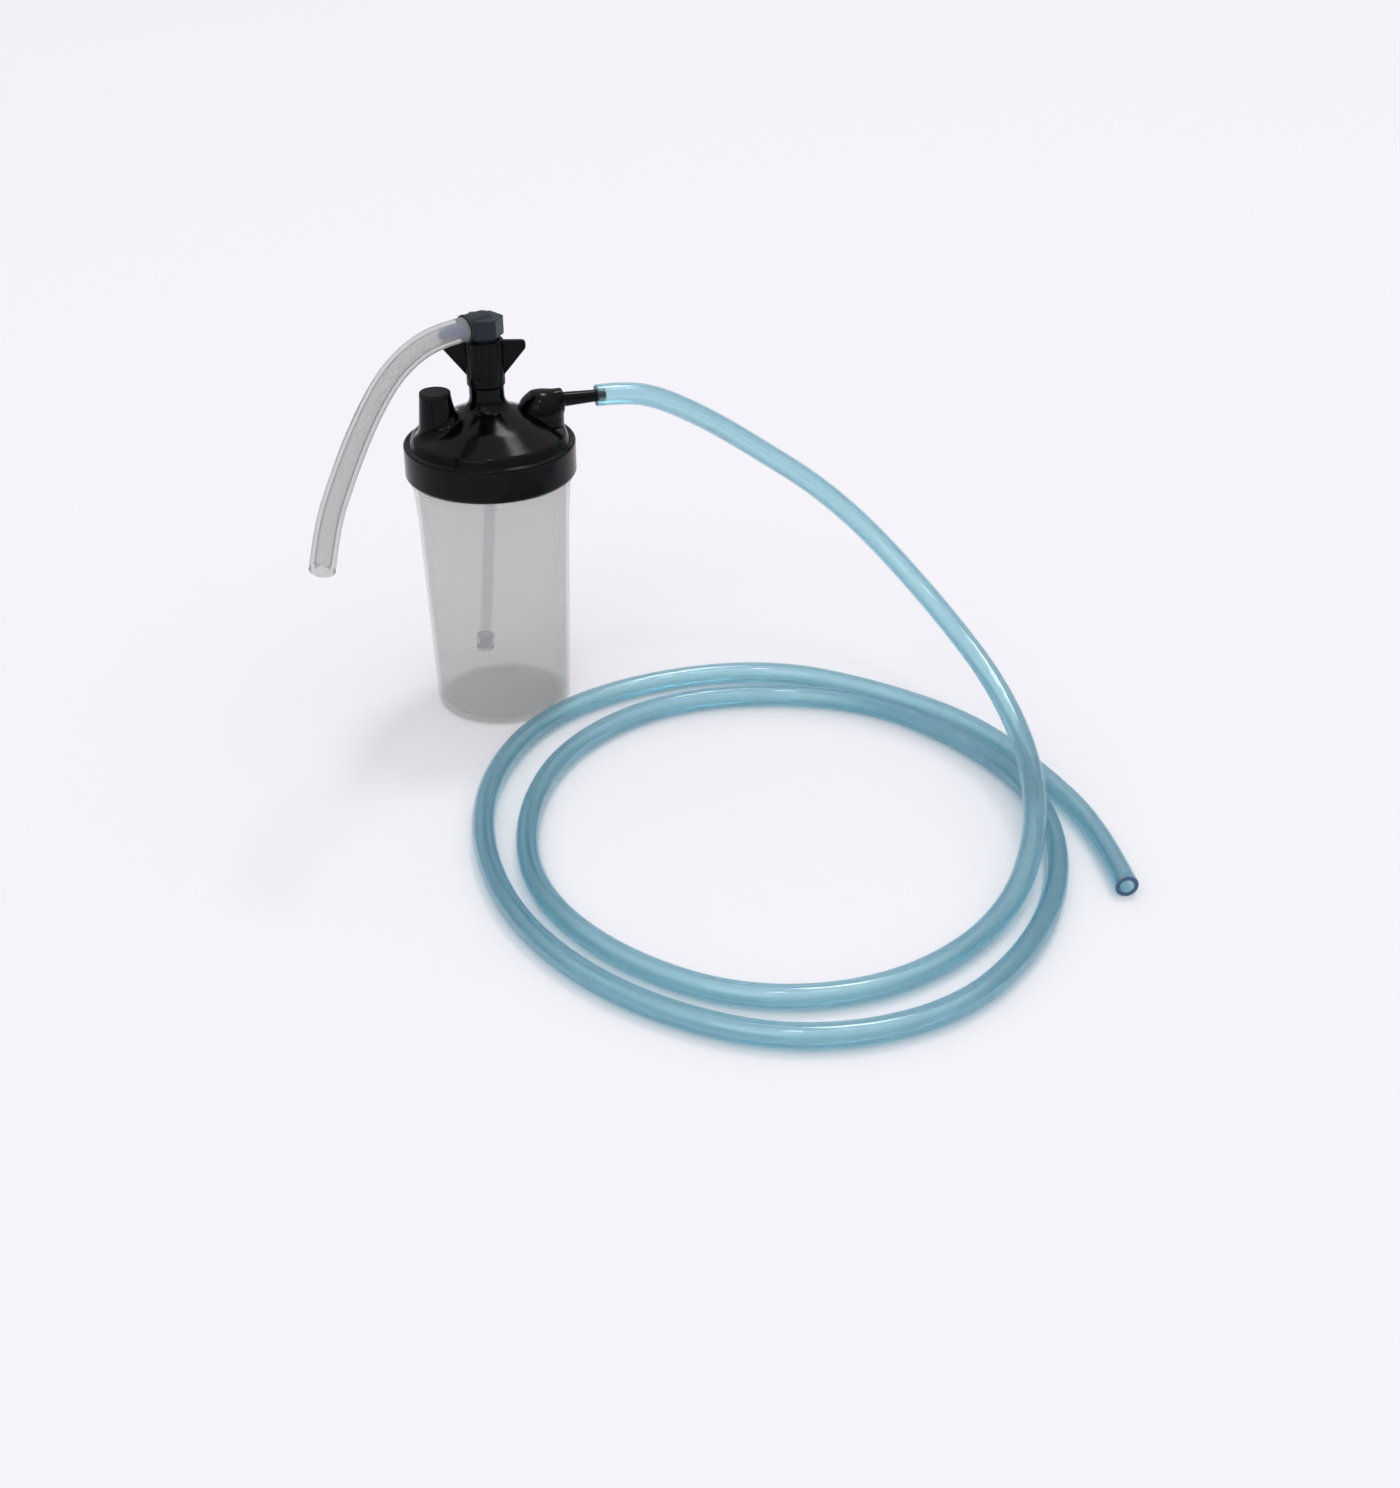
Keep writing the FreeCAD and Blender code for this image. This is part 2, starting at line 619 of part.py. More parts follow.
# Diffuser: a thimble on the dip tube's end, with a ring of holes near its foot.
diffuser = new_body("diffuser")
revolve(diffuser, "Thimble", [
    ("Sizes.dip_radius + 0.02", "-Sizes.diffuser_overlap"),
    ("Sizes.diffuser_radius", "-Sizes.diffuser_overlap"),
    ("Sizes.diffuser_radius", "Sizes.diffuser_length - Sizes.diffuser_overlap - 1"),
    ("Sizes.diffuser_radius - 1", "Sizes.diffuser_length - Sizes.diffuser_overlap"),
    ("0", "Sizes.diffuser_length - Sizes.diffuser_overlap"),
    ("0", "Sizes.diffuser_length - Sizes.diffuser_overlap - 1.2"),
    ("Sizes.dip_bore", "Sizes.diffuser_length - Sizes.diffuser_overlap - 1.2"),
    ("Sizes.dip_bore", "0.02"),
    ("Sizes.dip_radius + 0.02", "0.02"),
])
hole_sketch = diffuser.newObject("Sketcher::SketchObject", "HoleOutline")
hole_sketch.AttachmentSupport = [(origin_plane(diffuser, "XZ_Plane"), "")]
hole_sketch.MapMode = "FlatFace"
hole_centre = Vector(0, size("diffuser_hole_rise"), 0)
hole_sketch.addGeometry(Part.Circle(hole_centre, Vector(0, 0, 1), size("diffuser_hole_radius")), False)
hole_cut = diffuser.newObject("PartDesign::Pocket", "Hole")
hole_cut.Profile = (hole_sketch, [""])
hole_cut.Type = "ThroughAll"
hole_cut.Midplane = True
doc.recompute()
hole_ring = diffuser.newObject("PartDesign::PolarPattern", "HoleRing")
hole_ring.Originals = [hole_cut]
hole_ring.Axis = (origin_plane(diffuser, "Z_Axis"), [""])
hole_ring.Angle = 360.0
hole_ring.Occurrences = int(size("diffuser_holes"))
diffuser.Tip = hole_ring
doc.recompute()
diffuser.Placement = Placement(Vector(dip_end.x, dip_end.y, size("dip_end_height")),
                               Rotation(Vector(0, 0, 1), dip_heading))

# Inlet nipple: swivels in the stem, held by a clip and sealed by an O-ring.
inlet_nipple = new_body("inlet_nipple")
revolve(inlet_nipple, "NippleTube", [
    ("Sizes.nipple_bore", "Sizes.nipple_seat + 0.3"),
    ("Sizes.nipple_radius", "Sizes.nipple_seat + 0.3"),
    ("Sizes.nipple_radius", "Sizes.ring_groove_bottom"),
    ("Sizes.nipple_radius - 1.2", "Sizes.ring_groove_bottom"),
    ("Sizes.nipple_radius - 1.2", "Sizes.ring_groove_bottom + 1.8"),
    ("Sizes.nipple_radius", "Sizes.ring_groove_bottom + 1.8"),
    ("Sizes.nipple_radius", "Sizes.clip_bottom - 0.1"),
    ("Sizes.nipple_radius - 0.9", "Sizes.clip_bottom - 0.1"),
    ("Sizes.nipple_radius - 0.9", "Sizes.clip_bottom + Sizes.clip_thickness + 0.1"),
    ("Sizes.nipple_radius", "Sizes.clip_bottom + Sizes.clip_thickness + 0.1"),
    ("Sizes.nipple_radius", "Sizes.nipple_flange_bottom"),
    ("Sizes.nipple_flange_radius", "Sizes.nipple_flange_bottom"),
    ("Sizes.nipple_flange_radius", "Sizes.nipple_flange_top"),
    ("Sizes.nipple_radius - 0.6", "Sizes.nipple_flange_top"),
    ("Sizes.nipple_bore + 0.8", "Sizes.nipple_nose_top"),
    ("Sizes.nipple_bore", "Sizes.nipple_nose_top"),
])
nipple_o_ring = doc.addObject("Part::Torus", "nipple_o_ring")
nipple_o_ring.Label = "nipple_o_ring"
bind(nipple_o_ring, Radius1="(Sizes.nipple_radius - 1.2 + Sizes.stem_bore) / 2",
     Radius2="Sizes.o_ring_wire - 0.06")
nipple_o_ring.Placement = Placement(Vector(0, 0, size("ring_groove_bottom") + 0.9), Rotation())
nipple_clip = new_body("nipple_clip")
revolve(nipple_clip, "ClipRing", [
    ("Sizes.nipple_radius - 0.7", "Sizes.clip_bottom"),
    ("Sizes.stem_bore + 0.7", "Sizes.clip_bottom"),
    ("Sizes.stem_bore + 0.7", "Sizes.clip_bottom + Sizes.clip_thickness"),
    ("Sizes.nipple_radius - 0.7", "Sizes.clip_bottom + Sizes.clip_thickness"),
])
volume_falls(nipple_clip, lambda: primitive(
    nipple_clip, "SubtractiveBox", "ClipGap", ("0", "-Sizes.clip_gap / 2", "Sizes.clip_bottom - 1"),
    Length="Sizes.through", Width="Sizes.clip_gap", Height="Sizes.clip_thickness + 2"))

# Wing nut: a fluted sleeve with two triangular wings, free to turn on the nipple's flange.
wing_nut = new_body("wing_nut")
nut_turned = revolve(wing_nut, "NutSleeve", [
    ("Sizes.nut_lip_bore", "Sizes.nut_bottom"),
    ("Sizes.nut_radius - 0.5", "Sizes.nut_bottom"),
    ("Sizes.nut_radius", "Sizes.nut_bottom + 0.5"),
    ("Sizes.nut_radius", "Sizes.nut_top - 0.4"),
    ("Sizes.nut_radius - 0.4", "Sizes.nut_top"),
    ("Sizes.nut_bore", "Sizes.nut_top"),
    ("Sizes.nut_bore", "Sizes.nut_lip_top"),
    ("Sizes.nut_lip_bore", "Sizes.nut_lip_top"),
])
flute = primitive(wing_nut, "SubtractiveCylinder", "Flute",
                  ("Sizes.nut_radius + Sizes.flute_radius - Sizes.flute_depth", "0",
                   "Sizes.wing_root_height - 1"),
                  Radius="Sizes.flute_radius", Height="Sizes.through")
flutes = wing_nut.newObject("PartDesign::PolarPattern", "Flutes")
flutes.Originals = [flute]
flutes.Axis = (origin_plane(wing_nut, "Z_Axis"), [""])
flutes.Angle = 360.0
flutes.Occurrences = int(size("flutes"))
wing_nut.Tip = flutes
doc.recompute()
wing_sketch = closed_sketch(wing_nut, "WingOutline", [
    ("Sizes.nut_bore + 0.6", "Sizes.wing_root_height - 1.2"),
    ("Sizes.nut_radius", "Sizes.wing_root_height"),
    ("Sizes.wing_reach", "Sizes.wing_tip_height - 1"),
    ("Sizes.wing_reach", "Sizes.wing_top - 0.3"),
    ("Sizes.wing_top_reach", "Sizes.wing_top"),
    ("Sizes.nut_bore + 0.6", "Sizes.wing_top"),
])
wing = wing_nut.newObject("PartDesign::Pad", "Wing")
wing.Profile = (wing_sketch, [""])
wing.Midplane = True
bind(wing, Length="Sizes.wing_thickness")
doc.recompute()
wings = wing_nut.newObject("PartDesign::PolarPattern", "Wings")
wings.Originals = [wing]
wings.Axis = (origin_plane(wing_nut, "Z_Axis"), [""])
wings.Angle = 360.0
wings.Occurrences = int(size("wings"))
wing_nut.Tip = wings
doc.recompute()
ridge(wing_nut, "NutThread", [
    ("Sizes.nut_bore + 0.2", "Sizes.nut_thread_bottom - 0.35"),
    ("Sizes.nut_bore + 0.2", "Sizes.nut_thread_bottom + 0.35"),
    ("Sizes.nut_thread_crest", "Sizes.nut_thread_bottom + 0.12"),
    ("Sizes.nut_thread_crest", "Sizes.nut_thread_bottom - 0.12"),
], "Sizes.elbow_pitch", "Sizes.nut_thread_rise")
wing_nut.Placement = Placement(Vector(), Rotation(Vector(0, 0, 1), size("wing_azimuth")))

# Elbow washer: seals the elbow's spigot on the nipple's flange.
elbow_washer = new_body("elbow_washer")
revolve(elbow_washer, "WasherRing", [
    ("Sizes.nipple_radius - 0.4", "Sizes.nipple_flange_top"),
    ("Sizes.nipple_flange_radius", "Sizes.nipple_flange_top"),
    ("Sizes.nipple_flange_radius", "Sizes.spigot_bottom - 0.05"),
    ("Sizes.nipple_radius - 0.4", "Sizes.spigot_bottom - 0.05"),
])

# Elbow fitting: threaded spigot, hex block and side barrel, built along +X and then turned.
elbow_fitting = new_body("elbow_fitting")
revolve(elbow_fitting, "Spigot", [
    ("0", "Sizes.spigot_bottom"),
    ("Sizes.spigot_radius", "Sizes.spigot_bottom"),
    ("Sizes.spigot_radius", "Sizes.hex_bottom + 1"),
    ("0", "Sizes.hex_bottom + 1"),
])
hex_corners = []
for k in range(6):
    corner = "Sizes.hex_circumradius * cos(%d deg)" % (60 * k + 30)
    side = "Sizes.hex_circumradius * sin(%d deg)" % (60 * k + 30)
    hex_corners.append((corner, side))
hex_sketch = closed_sketch(elbow_fitting, "HexOutline", hex_corners, role="XY_Plane")
hex_sketch.setExpression("AttachmentOffset.Base.z", "Sizes.hex_bottom")
hex_block = elbow_fitting.newObject("PartDesign::Pad", "HexBlock")
hex_block.Profile = (hex_sketch, [""])
bind(hex_block, Length="Sizes.hex_top - Sizes.hex_bottom")
doc.recompute()
hex_edges = soften(elbow_fitting, hex_block, "HexEdges", size("hex_rounding"),
                   lambda edge: edge.BoundBox.ZMin > size("hex_bottom") - 0.01
                   and isinstance(edge.Curve, Part.Line)
                   and (edge.BoundBox.ZLength > 5 or edge.BoundBox.ZMin > size("hex_top") - 0.1))
primitive(elbow_fitting, "AdditiveSphere", "BarrelCrown", ("0", "0", "Sizes.barb_height"),
          Radius="Sizes.barrel_radius")
primitive(elbow_fitting, "AdditiveCylinder", "Barrel", ("0", "0", "Sizes.barb_height"), turn=SIDEWAYS,
          Radius="Sizes.barrel_radius", Height="Sizes.barrel_face")
volume_falls(elbow_fitting, lambda: primitive(
    elbow_fitting, "SubtractiveCylinder", "NoseBore", ("0", "0", "Sizes.spigot_bottom - 1"),
    Radius="Sizes.nipple_radius - 0.4", Height="Sizes.nipple_nose_top - Sizes.spigot_bottom + 1.5"))
volume_falls(elbow_fitting, lambda: primitive(
    elbow_fitting, "SubtractiveCylinder", "RisingBore", ("0", "0", "Sizes.spigot_bottom - 1"),
    Radius="Sizes.elbow_bore", Height="Sizes.barb_height - Sizes.spigot_bottom + 1"))
volume_falls(elbow_fitting, lambda: primitive(
    elbow_fitting, "SubtractiveCylinder", "SideBore", ("0", "0", "Sizes.barb_height"), turn=SIDEWAYS,
    Radius="Sizes.elbow_bore", Height="Sizes.through"))
thread_phase = size("elbow_azimuth") - size("wing_azimuth")
PHASE_LIFT = size("elbow_pitch") * (thread_phase / 360.0 - 0.5)
ridge(elbow_fitting, "SpigotThread", [
    ("Sizes.spigot_radius - 0.3", "Sizes.nut_thread_bottom + %.4f - 0.35" % PHASE_LIFT),
    ("Sizes.spigot_thread_crest", "Sizes.nut_thread_bottom + %.4f - 0.12" % PHASE_LIFT),
    ("Sizes.spigot_thread_crest", "Sizes.nut_thread_bottom + %.4f + 0.12" % PHASE_LIFT),
    ("Sizes.spigot_radius - 0.3", "Sizes.nut_thread_bottom + %.4f + 0.35" % PHASE_LIFT),
], "Sizes.elbow_pitch", "Sizes.nut_thread_rise")
elbow_turn = Rotation(Vector(0, 0, 1), size("elbow_azimuth"))
elbow_fitting.Placement = Placement(Vector(), elbow_turn)

# Barb seal ring and hose barb, on the barrel's axis.
barb_axis = Placement(Vector(0, 0, size("barb_height")), elbow_turn.multiply(SIDEWAYS))
barb_collar = new_body("barb_collar")
collar_turned = revolve(barb_collar, "CollarRing", [
    ("Sizes.barb_root_radius + 0.02", "Sizes.barrel_face"),
    ("Sizes.seal_ring_radius", "Sizes.barrel_face"),
    ("Sizes.seal_ring_radius", "Sizes.seal_ring_face"),
    ("Sizes.barb_root_radius + 0.02", "Sizes.seal_ring_face"),
])
soften(barb_collar, collar_turned, "CollarEdge", 0.4,
       ring_at(size("seal_ring_radius"), size("seal_ring_face")))
barb_collar.Placement = barb_axis
hose_barb = new_body("hose_barb")
revolve(hose_barb, "Barb", [
    ("Sizes.barb_bore", "Sizes.barb_start"),
    ("Sizes.barb_root_radius", "Sizes.barb_start"),
    ("Sizes.barb_root_radius", "Sizes.barb_end - 2 * Sizes.barb_tooth"),
    ("Sizes.barb_radius", "Sizes.barb_end - 2 * Sizes.barb_tooth"),
    ("Sizes.barb_root_radius", "Sizes.barb_end - Sizes.barb_tooth"),
    ("Sizes.barb_radius", "Sizes.barb_end - Sizes.barb_tooth"),
    ("Sizes.barb_root_radius - 0.3", "Sizes.barb_end"),
    ("Sizes.barb_bore", "Sizes.barb_end"),
])
hose_barb.Placement = barb_axis

# Hoses. Each is two nodes: the long run, and its straight free end.
supply_hose_end, supply_run_end = hose_end("supply_hose_end", SUPPLY_HOSE_ROUTE,
                                           "supply_hose_radius", "supply_hose_bore", "supply_end_length")
supply_hose = hose("supply_hose", SUPPLY_HOSE_ROUTE[:-1] + [supply_run_end],
                   "supply_hose_radius", "supply_hose_bore")
outlet_hose_end, outlet_run_end = hose_end("outlet_hose_end", OUTLET_HOSE_ROUTE,
                                           "outlet_hose_radius", "outlet_hose_bore", "outlet_end_length")
outlet_hose = hose("outlet_hose", OUTLET_HOSE_ROUTE[:-1] + [outlet_run_end],
                   "outlet_hose_radius", "outlet_hose_bore")

nodes = [
    jar, lid_gasket, lid, outlet_elbow, outlet_nozzle, relief_cap, relief_spring, relief_poppet,
    relief_seal, dip_tube, diffuser, inlet_nipple, nipple_o_ring, nipple_clip, wing_nut,
    elbow_washer, elbow_fitting, barb_collar, hose_barb, supply_hose, supply_hose_end,
    outlet_hose, outlet_hose_end,
]
for thing in doc.Objects:
    assert not {"Invalid", "Error"} & set(thing.State), thing.Name + " did not compute"
for node in nodes:
    shape = node.Shape
    assert not shape.isNull() and shape.isValid(), node.Label + " is not valid"
    assert len(shape.Solids) == 1, "%s has %d solids" % (node.Label, len(shape.Solids))
    print("%-16s volume %9.1f mm3" % (node.Label, shape.Volume))

os.makedirs("parts", exist_ok=True)
for node in nodes:
    node.Shape.exportStep("parts/%s.step" % node.Label)
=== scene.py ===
import math

import bmesh
import bpy
import numpy as np
from mathutils import Euler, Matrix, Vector


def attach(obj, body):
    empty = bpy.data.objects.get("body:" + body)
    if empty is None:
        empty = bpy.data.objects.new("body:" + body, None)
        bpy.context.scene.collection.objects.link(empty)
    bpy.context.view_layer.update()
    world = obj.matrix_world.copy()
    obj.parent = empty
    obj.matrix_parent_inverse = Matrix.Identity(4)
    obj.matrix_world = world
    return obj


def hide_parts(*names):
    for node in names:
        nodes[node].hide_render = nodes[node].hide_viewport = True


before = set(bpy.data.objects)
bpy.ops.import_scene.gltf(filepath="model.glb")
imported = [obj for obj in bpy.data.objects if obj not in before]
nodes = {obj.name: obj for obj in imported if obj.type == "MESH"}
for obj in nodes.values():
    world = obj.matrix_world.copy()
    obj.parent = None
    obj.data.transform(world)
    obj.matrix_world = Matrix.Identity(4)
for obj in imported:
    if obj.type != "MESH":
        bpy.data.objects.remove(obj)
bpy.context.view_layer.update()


# ---- Jar ------------------------------------------------------------------------------------
# A clouded polypropylene cup, injection moulded, with a wall of about 1.7 mm. It stands on a
# ring round its foot, and its threaded neck goes up inside the lid's skirt.
MM = 0.001
foot_ring, jar_base, jar_shoulder = 29.0, 33.4, 37.9
waist_radius, waist_height = 36.5, 100.0
bead_radius, neck_radius, neck_bore = 38.9, 36.2, 34.4
shoulder_height, bead_height, neck_height = 118.0, 121.2, 135.0
jar_wall, jar_floor = 1.7, 2.8
jar_pitch, jar_thread_crest, jar_thread_width = 4.0, 1.3, 1.8
jar_thread_low, jar_thread_high = 124.4, 132.6
jar_columns, jar_step = 160, 0.65


def outline(corners, steps=8):
    """Points along an outline whose corners are (radius, height, rounding), in millimetres.
    A rounding is an arc tangent to both sides; it runs from one tangent point to the other."""
    corners = np.array(corners, float)
    points = [corners[0, :2]]
    for before, corner, after in zip(corners[:-2], corners[1:-1], corners[2:]):
        back, ahead = before[:2] - corner[:2], after[:2] - corner[:2]
        back, ahead = back / np.linalg.norm(back), ahead / np.linalg.norm(ahead)
        half = math.acos(np.clip(back @ ahead, -1, 1)) / 2
        if corner[2] == 0 or half > 1.55:
            points.append(corner[:2])
            continue
        centre = corner[:2] + (back + ahead) / np.linalg.norm(back + ahead) * corner[2] / math.sin(half)
        start = corner[:2] + back * corner[2] / math.tan(half) - centre
        end = corner[:2] + ahead * corner[2] / math.tan(half) - centre
        turn = math.pi - 2 * half
        share = np.linspace(0, 1, steps)[:, None]
        arc = (np.sin((1 - share) * turn) * start + np.sin(share * turn) * end) / math.sin(turn)
        points.extend(centre + arc)
    points.append(corners[-1, :2])
    return np.array(points)


def spaced(points, step):
    """The outline again, with more points on its long sides, no further apart than step."""
    counts = np.maximum(1, np.ceil(np.linalg.norm(np.diff(points, axis=0), axis=1) / step).astype(int))
    at = np.concatenate([np.arange(n) / n + k for k, n in enumerate(counts)] + [[len(counts)]])
    return np.stack([np.interp(at, np.arange(len(points)), points[:, k]) for k in range(2)], 1)


def turned(points, columns=144):
    """A grid: every outline point (radius, height) goes round the Z axis at even angles."""
    angle = np.linspace(0, 2 * np.pi, columns, endpoint=False)
    radius, height = points[:, :1], points[:, 1:]
    return np.stack([radius * np.cos(angle), radius * np.sin(angle), height + 0 * angle], -1)


def helix_ridge(grid, pitch, crest, low, high, width, start=0.0):
    """Adds a thread to a turned grid's outer wall. The ridge climbs one pitch a turn. Its height
    falls as the square of the cosine to nil at half its width, and evenly to nil over half a
    pitch at each end."""
    angle = np.arctan2(grid[..., 1], grid[..., 0]) / (2 * np.pi)
    height = grid[..., 2]
    off = (height - low) / pitch - angle - start
    off = np.abs(off - np.round(off)) * pitch / (width / 2)
    fade = np.clip(np.minimum(height - low, high - height) / (pitch / 2), 0, 1)
    rise = crest * np.cos(np.clip(off, 0, 1) * np.pi / 2) ** 2 * fade
    radius = np.hypot(grid[..., 0], grid[..., 1])
    outer = radius > np.median(radius[(height > low) & (height < high)]) - 0.3
    return np.concatenate([grid[..., :2] * (1 + rise * outer / np.maximum(radius, 1))[..., None],
                           grid[..., 2:]], -1)


def shell(name, grids, sharp=35, scale=MM):
    """One mesh from grids of points. Columns go round; rows either end on poles or, with the
    last row joined to the first, go round too. Doubles at poles are merged, faces turned out."""
    points, faces, count = [], [], 0
    for grid, ring in grids:
        rows, columns = grid.shape[:2]
        index = count + np.arange(rows * columns).reshape(rows, columns)
        if ring:
            index = np.vstack([index, index[:1]])
        beside = np.roll(index, -1, axis=1)
        quads = np.stack([index[:-1], beside[:-1], beside[1:], index[1:]], -1)
        points.append(grid.reshape(-1, 3))
        faces.append(quads.reshape(-1, 4))
        count += rows * columns
    mesh = bpy.data.meshes.new(name)
    mesh.from_pydata(np.concatenate(points) * scale, [], np.concatenate(faces).tolist())
    work = bmesh.new()
    work.from_mesh(mesh)
    bmesh.ops.remove_doubles(work, verts=work.verts, dist=2e-6)
    loose = [edge for edge in work.edges if not edge.link_faces]
    bmesh.ops.delete(work, geom=loose, context="EDGES")
    bmesh.ops.recalc_face_normals(work, faces=work.faces)
    work.to_mesh(mesh)
    work.free()
    mesh.shade_smooth()
    mesh.set_sharp_from_angle(angle=math.radians(sharp))
    piece = bpy.data.objects.new(name, mesh)
    bpy.context.scene.collection.objects.link(piece)
    return piece


def linear(code):
    """An sRGB hex colour as linear red, green, blue and alpha."""
    share = np.array([int(code[k:k + 2], 16) for k in (1, 3, 5)]) / 255
    return (*np.where(share <= 0.04045, share / 12.92, ((share + 0.055) / 1.055) ** 2.4), 1.0)


def add(material, kind, inputs=(), **settings):
    """Adds a node with its settings; an input is a value or the output that it links to."""
    tree = material.node_tree
    made = tree.nodes.new("ShaderNode" + kind)
    for name, value in settings.items():
        setattr(made, name, value)
    for socket, value in dict(inputs).items():
        if isinstance(value, bpy.types.NodeSocket):
            tree.links.new(value, made.inputs[socket])
        else:
            made.inputs[socket].default_value = value
    return made


def new_material(name):
    """An empty node material and its output node."""
    material = bpy.data.materials.new(name)
    material.use_nodes = True
    material.node_tree.nodes.clear()
    return material, add(material, "OutputMaterial")


def outside_shine(material, ior):
    """Share of light mirrored by a thin wall: Fresnel's, on faces seen from outside only."""
    share = add(material, "Fresnel", {"IOR": ior}).outputs[0]
    inside = add(material, "NewGeometry").outputs["Backfacing"]
    outside = add(material, "Math", {0: 1.0, 1: inside}, operation="SUBTRACT").outputs[0]
    return add(material, "Math", {0: share, 1: outside}, operation="MULTIPLY").outputs[0]


# Natural polypropylene, moulded: a thin milky wall that scatters about a quarter of the light
# and lets the rest straight through. The melt leaves long faint streaks up it, the tool a satin.
jar_polypropylene, surface = new_material("jar_polypropylene_moulded")
place = add(jar_polypropylene, "TexCoord").outputs["Object"]
upright = add(jar_polypropylene, "Mapping", {"Vector": place, "Scale": (180, 180, 9)}).outputs[0]
streaks = add(jar_polypropylene, "TexNoise", {"Vector": upright, "Scale": 1.0, "Detail": 3.0})
cloud = add(jar_polypropylene, "TexNoise", {"Vector": place, "Scale": 38.0, "Detail": 2.0})
milk = add(jar_polypropylene, "ValToRGB", {"Fac": cloud.outputs["Fac"]})
milk.color_ramp.elements[0].position, milk.color_ramp.elements[1].position = 0.3, 0.7
milk.color_ramp.elements[0].color = linear("#DADAD9")
milk.color_ramp.elements[1].color = linear("#E2E2E2")
haze = add(jar_polypropylene, "MapRange", {
    "Value": streaks.outputs["Fac"], "To Min": 0.26, "To Max": 0.36})
thick = add(jar_polypropylene, "MapRange", {
    "Value": streaks.outputs["Fac"], "To Min": 0.22, "To Max": 0.27})
peel = add(jar_polypropylene, "TexNoise", {"Vector": place, "Scale": 700.0, "Detail": 2.0})
peel_bump = add(jar_polypropylene, "Bump",
                {"Height": peel.outputs["Fac"], "Strength": 0.15, "Distance": 0.0002})
front = add(jar_polypropylene, "BsdfDiffuse", {"Color": milk.outputs["Color"]})
behind = add(jar_polypropylene, "BsdfTranslucent", {"Color": milk.outputs["Color"]})
milky = add(jar_polypropylene, "MixShader", {0: 0.5, 1: front.outputs[0], 2: behind.outputs[0]})
clear = add(jar_polypropylene, "BsdfTransparent", {"Color": linear("#FBFBFA")})
wall = add(jar_polypropylene, "MixShader", {
    0: thick.outputs["Result"], 1: clear.outputs[0], 2: milky.outputs[0]})
shine = add(jar_polypropylene, "BsdfGlossy", {
    "Roughness": haze.outputs["Result"], "Normal": peel_bump.outputs["Normal"]})
edge = outside_shine(jar_polypropylene, 1.3)
plastic = add(jar_polypropylene, "MixShader", {0: edge, 1: wall.outputs[0], 2: shine.outputs[0]})
jar_polypropylene.node_tree.links.new(plastic.outputs[0], surface.inputs["Surface"])

jar_points = spaced(outline([
    (0, 0.9, 0), (foot_ring - 2.4, 0.8, 0), (foot_ring - 1.2, 0, 0.5), (jar_base, 0, 2.4),
    (waist_radius, waist_height, 40), (jar_shoulder, shoulder_height, 0.6),
    (bead_radius, shoulder_height + 0.9, 0.5), (bead_radius, bead_height, 0.5),
    (neck_radius, bead_height, 0.3), (neck_radius, neck_height, 0.4), (neck_bore, neck_height, 0.4),
    (neck_bore, shoulder_height + 1, 0.8),
    (jar_shoulder - jar_wall - 0.6, shoulder_height - 1.5, 0.8),
    (waist_radius - jar_wall, waist_height, 40), (jar_base - jar_wall, jar_floor, 2.4),
    (0, jar_floor, 0),
]), jar_step)
jar_grid = helix_ridge(turned(jar_points, jar_columns), jar_pitch, jar_thread_crest,
                       jar_thread_low, jar_thread_high, jar_thread_width)
jar = shell("jar_cup", [(jar_grid, False)])
jar.data.materials.append(jar_polypropylene)
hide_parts("jar")
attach(jar, "jar")


# ---- Lid ------------------------------------------------------------------------------------
# One black moulding: a threaded skirt, a dome that sweeps up into the centre stem, and on the
# dome the relief valve's housing and the outlet's boss. It screws down on the jar's gasket.
lid_radius, skirt_low, skirt_high, skirt_bore = 41.0, 121.9, 138.3, 38.0
dome_shoulder, dome_shoulder_height, dome_crown = 36.3, 142.0, 156.2
dome_middle, dome_middle_height = 24.0, 149.0
stem_radius, stem_height, stem_bore, stem_floor = 8.25, 165.5, 5.0, 152.0
orifice_radius, orifice_low = 2.2, 147.6
socket_radius, socket_wall, socket_low = 3.15, 5.2, 128.0
ledge_radius, ceiling_radius, ceiling_height, gasket_seat = 39.5, 33.6, 139.3, 136.6
relief_offset, relief_foot, relief_rim_radius, relief_rim = -24.6, 8.5, 7.4, 163.0
relief_bore, relief_floor, relief_flare = 5.4, 147.5, 4.5
post_offset, post_radius, post_seat, post_flare = 25.4, 11.2, 147.0, 1.2

dome_top = outline([
    (ledge_radius, skirt_high, 0), (ledge_radius - 0.5, skirt_high - 0.5, 0.3),
    (ledge_radius - 1.2, skirt_high - 0.2, 0.4), (dome_shoulder, dome_shoulder_height, 4.0),
    (dome_middle, dome_middle_height, 40.0), (stem_radius, dome_crown, 7.0),
    (stem_radius, stem_height, 0),
], 24)
lid_points = np.concatenate([
    outline([
        (skirt_bore, skirt_low + 0.6, 0), (skirt_bore + 0.6, skirt_low, 0.3),
        (lid_radius - 0.9, skirt_low, 0.5), (lid_radius, skirt_low + 1.4, 0.6),
        (lid_radius, skirt_high, 1.3), (ledge_radius, skirt_high, 0),
    ]),
    dome_top[1:-1],
    outline([
        (stem_radius, stem_height - 1, 0), (stem_radius, stem_height, 0.4),
        (stem_bore, stem_height, 0.3), (stem_bore, stem_floor, 0), (orifice_radius, stem_floor, 0),
        (orifice_radius, orifice_low, 0), (socket_radius, orifice_low, 0),
        (socket_radius, socket_low, 0), (socket_wall, socket_low, 0.4),
        (socket_wall + 0.6, 145.0, 2.0), (ceiling_radius, ceiling_height, 2.0),
        (ceiling_radius, gasket_seat, 0), (skirt_bore, gasket_seat, 0.3),
        (skirt_bore, skirt_low + 0.6, 0),
    ]),
])


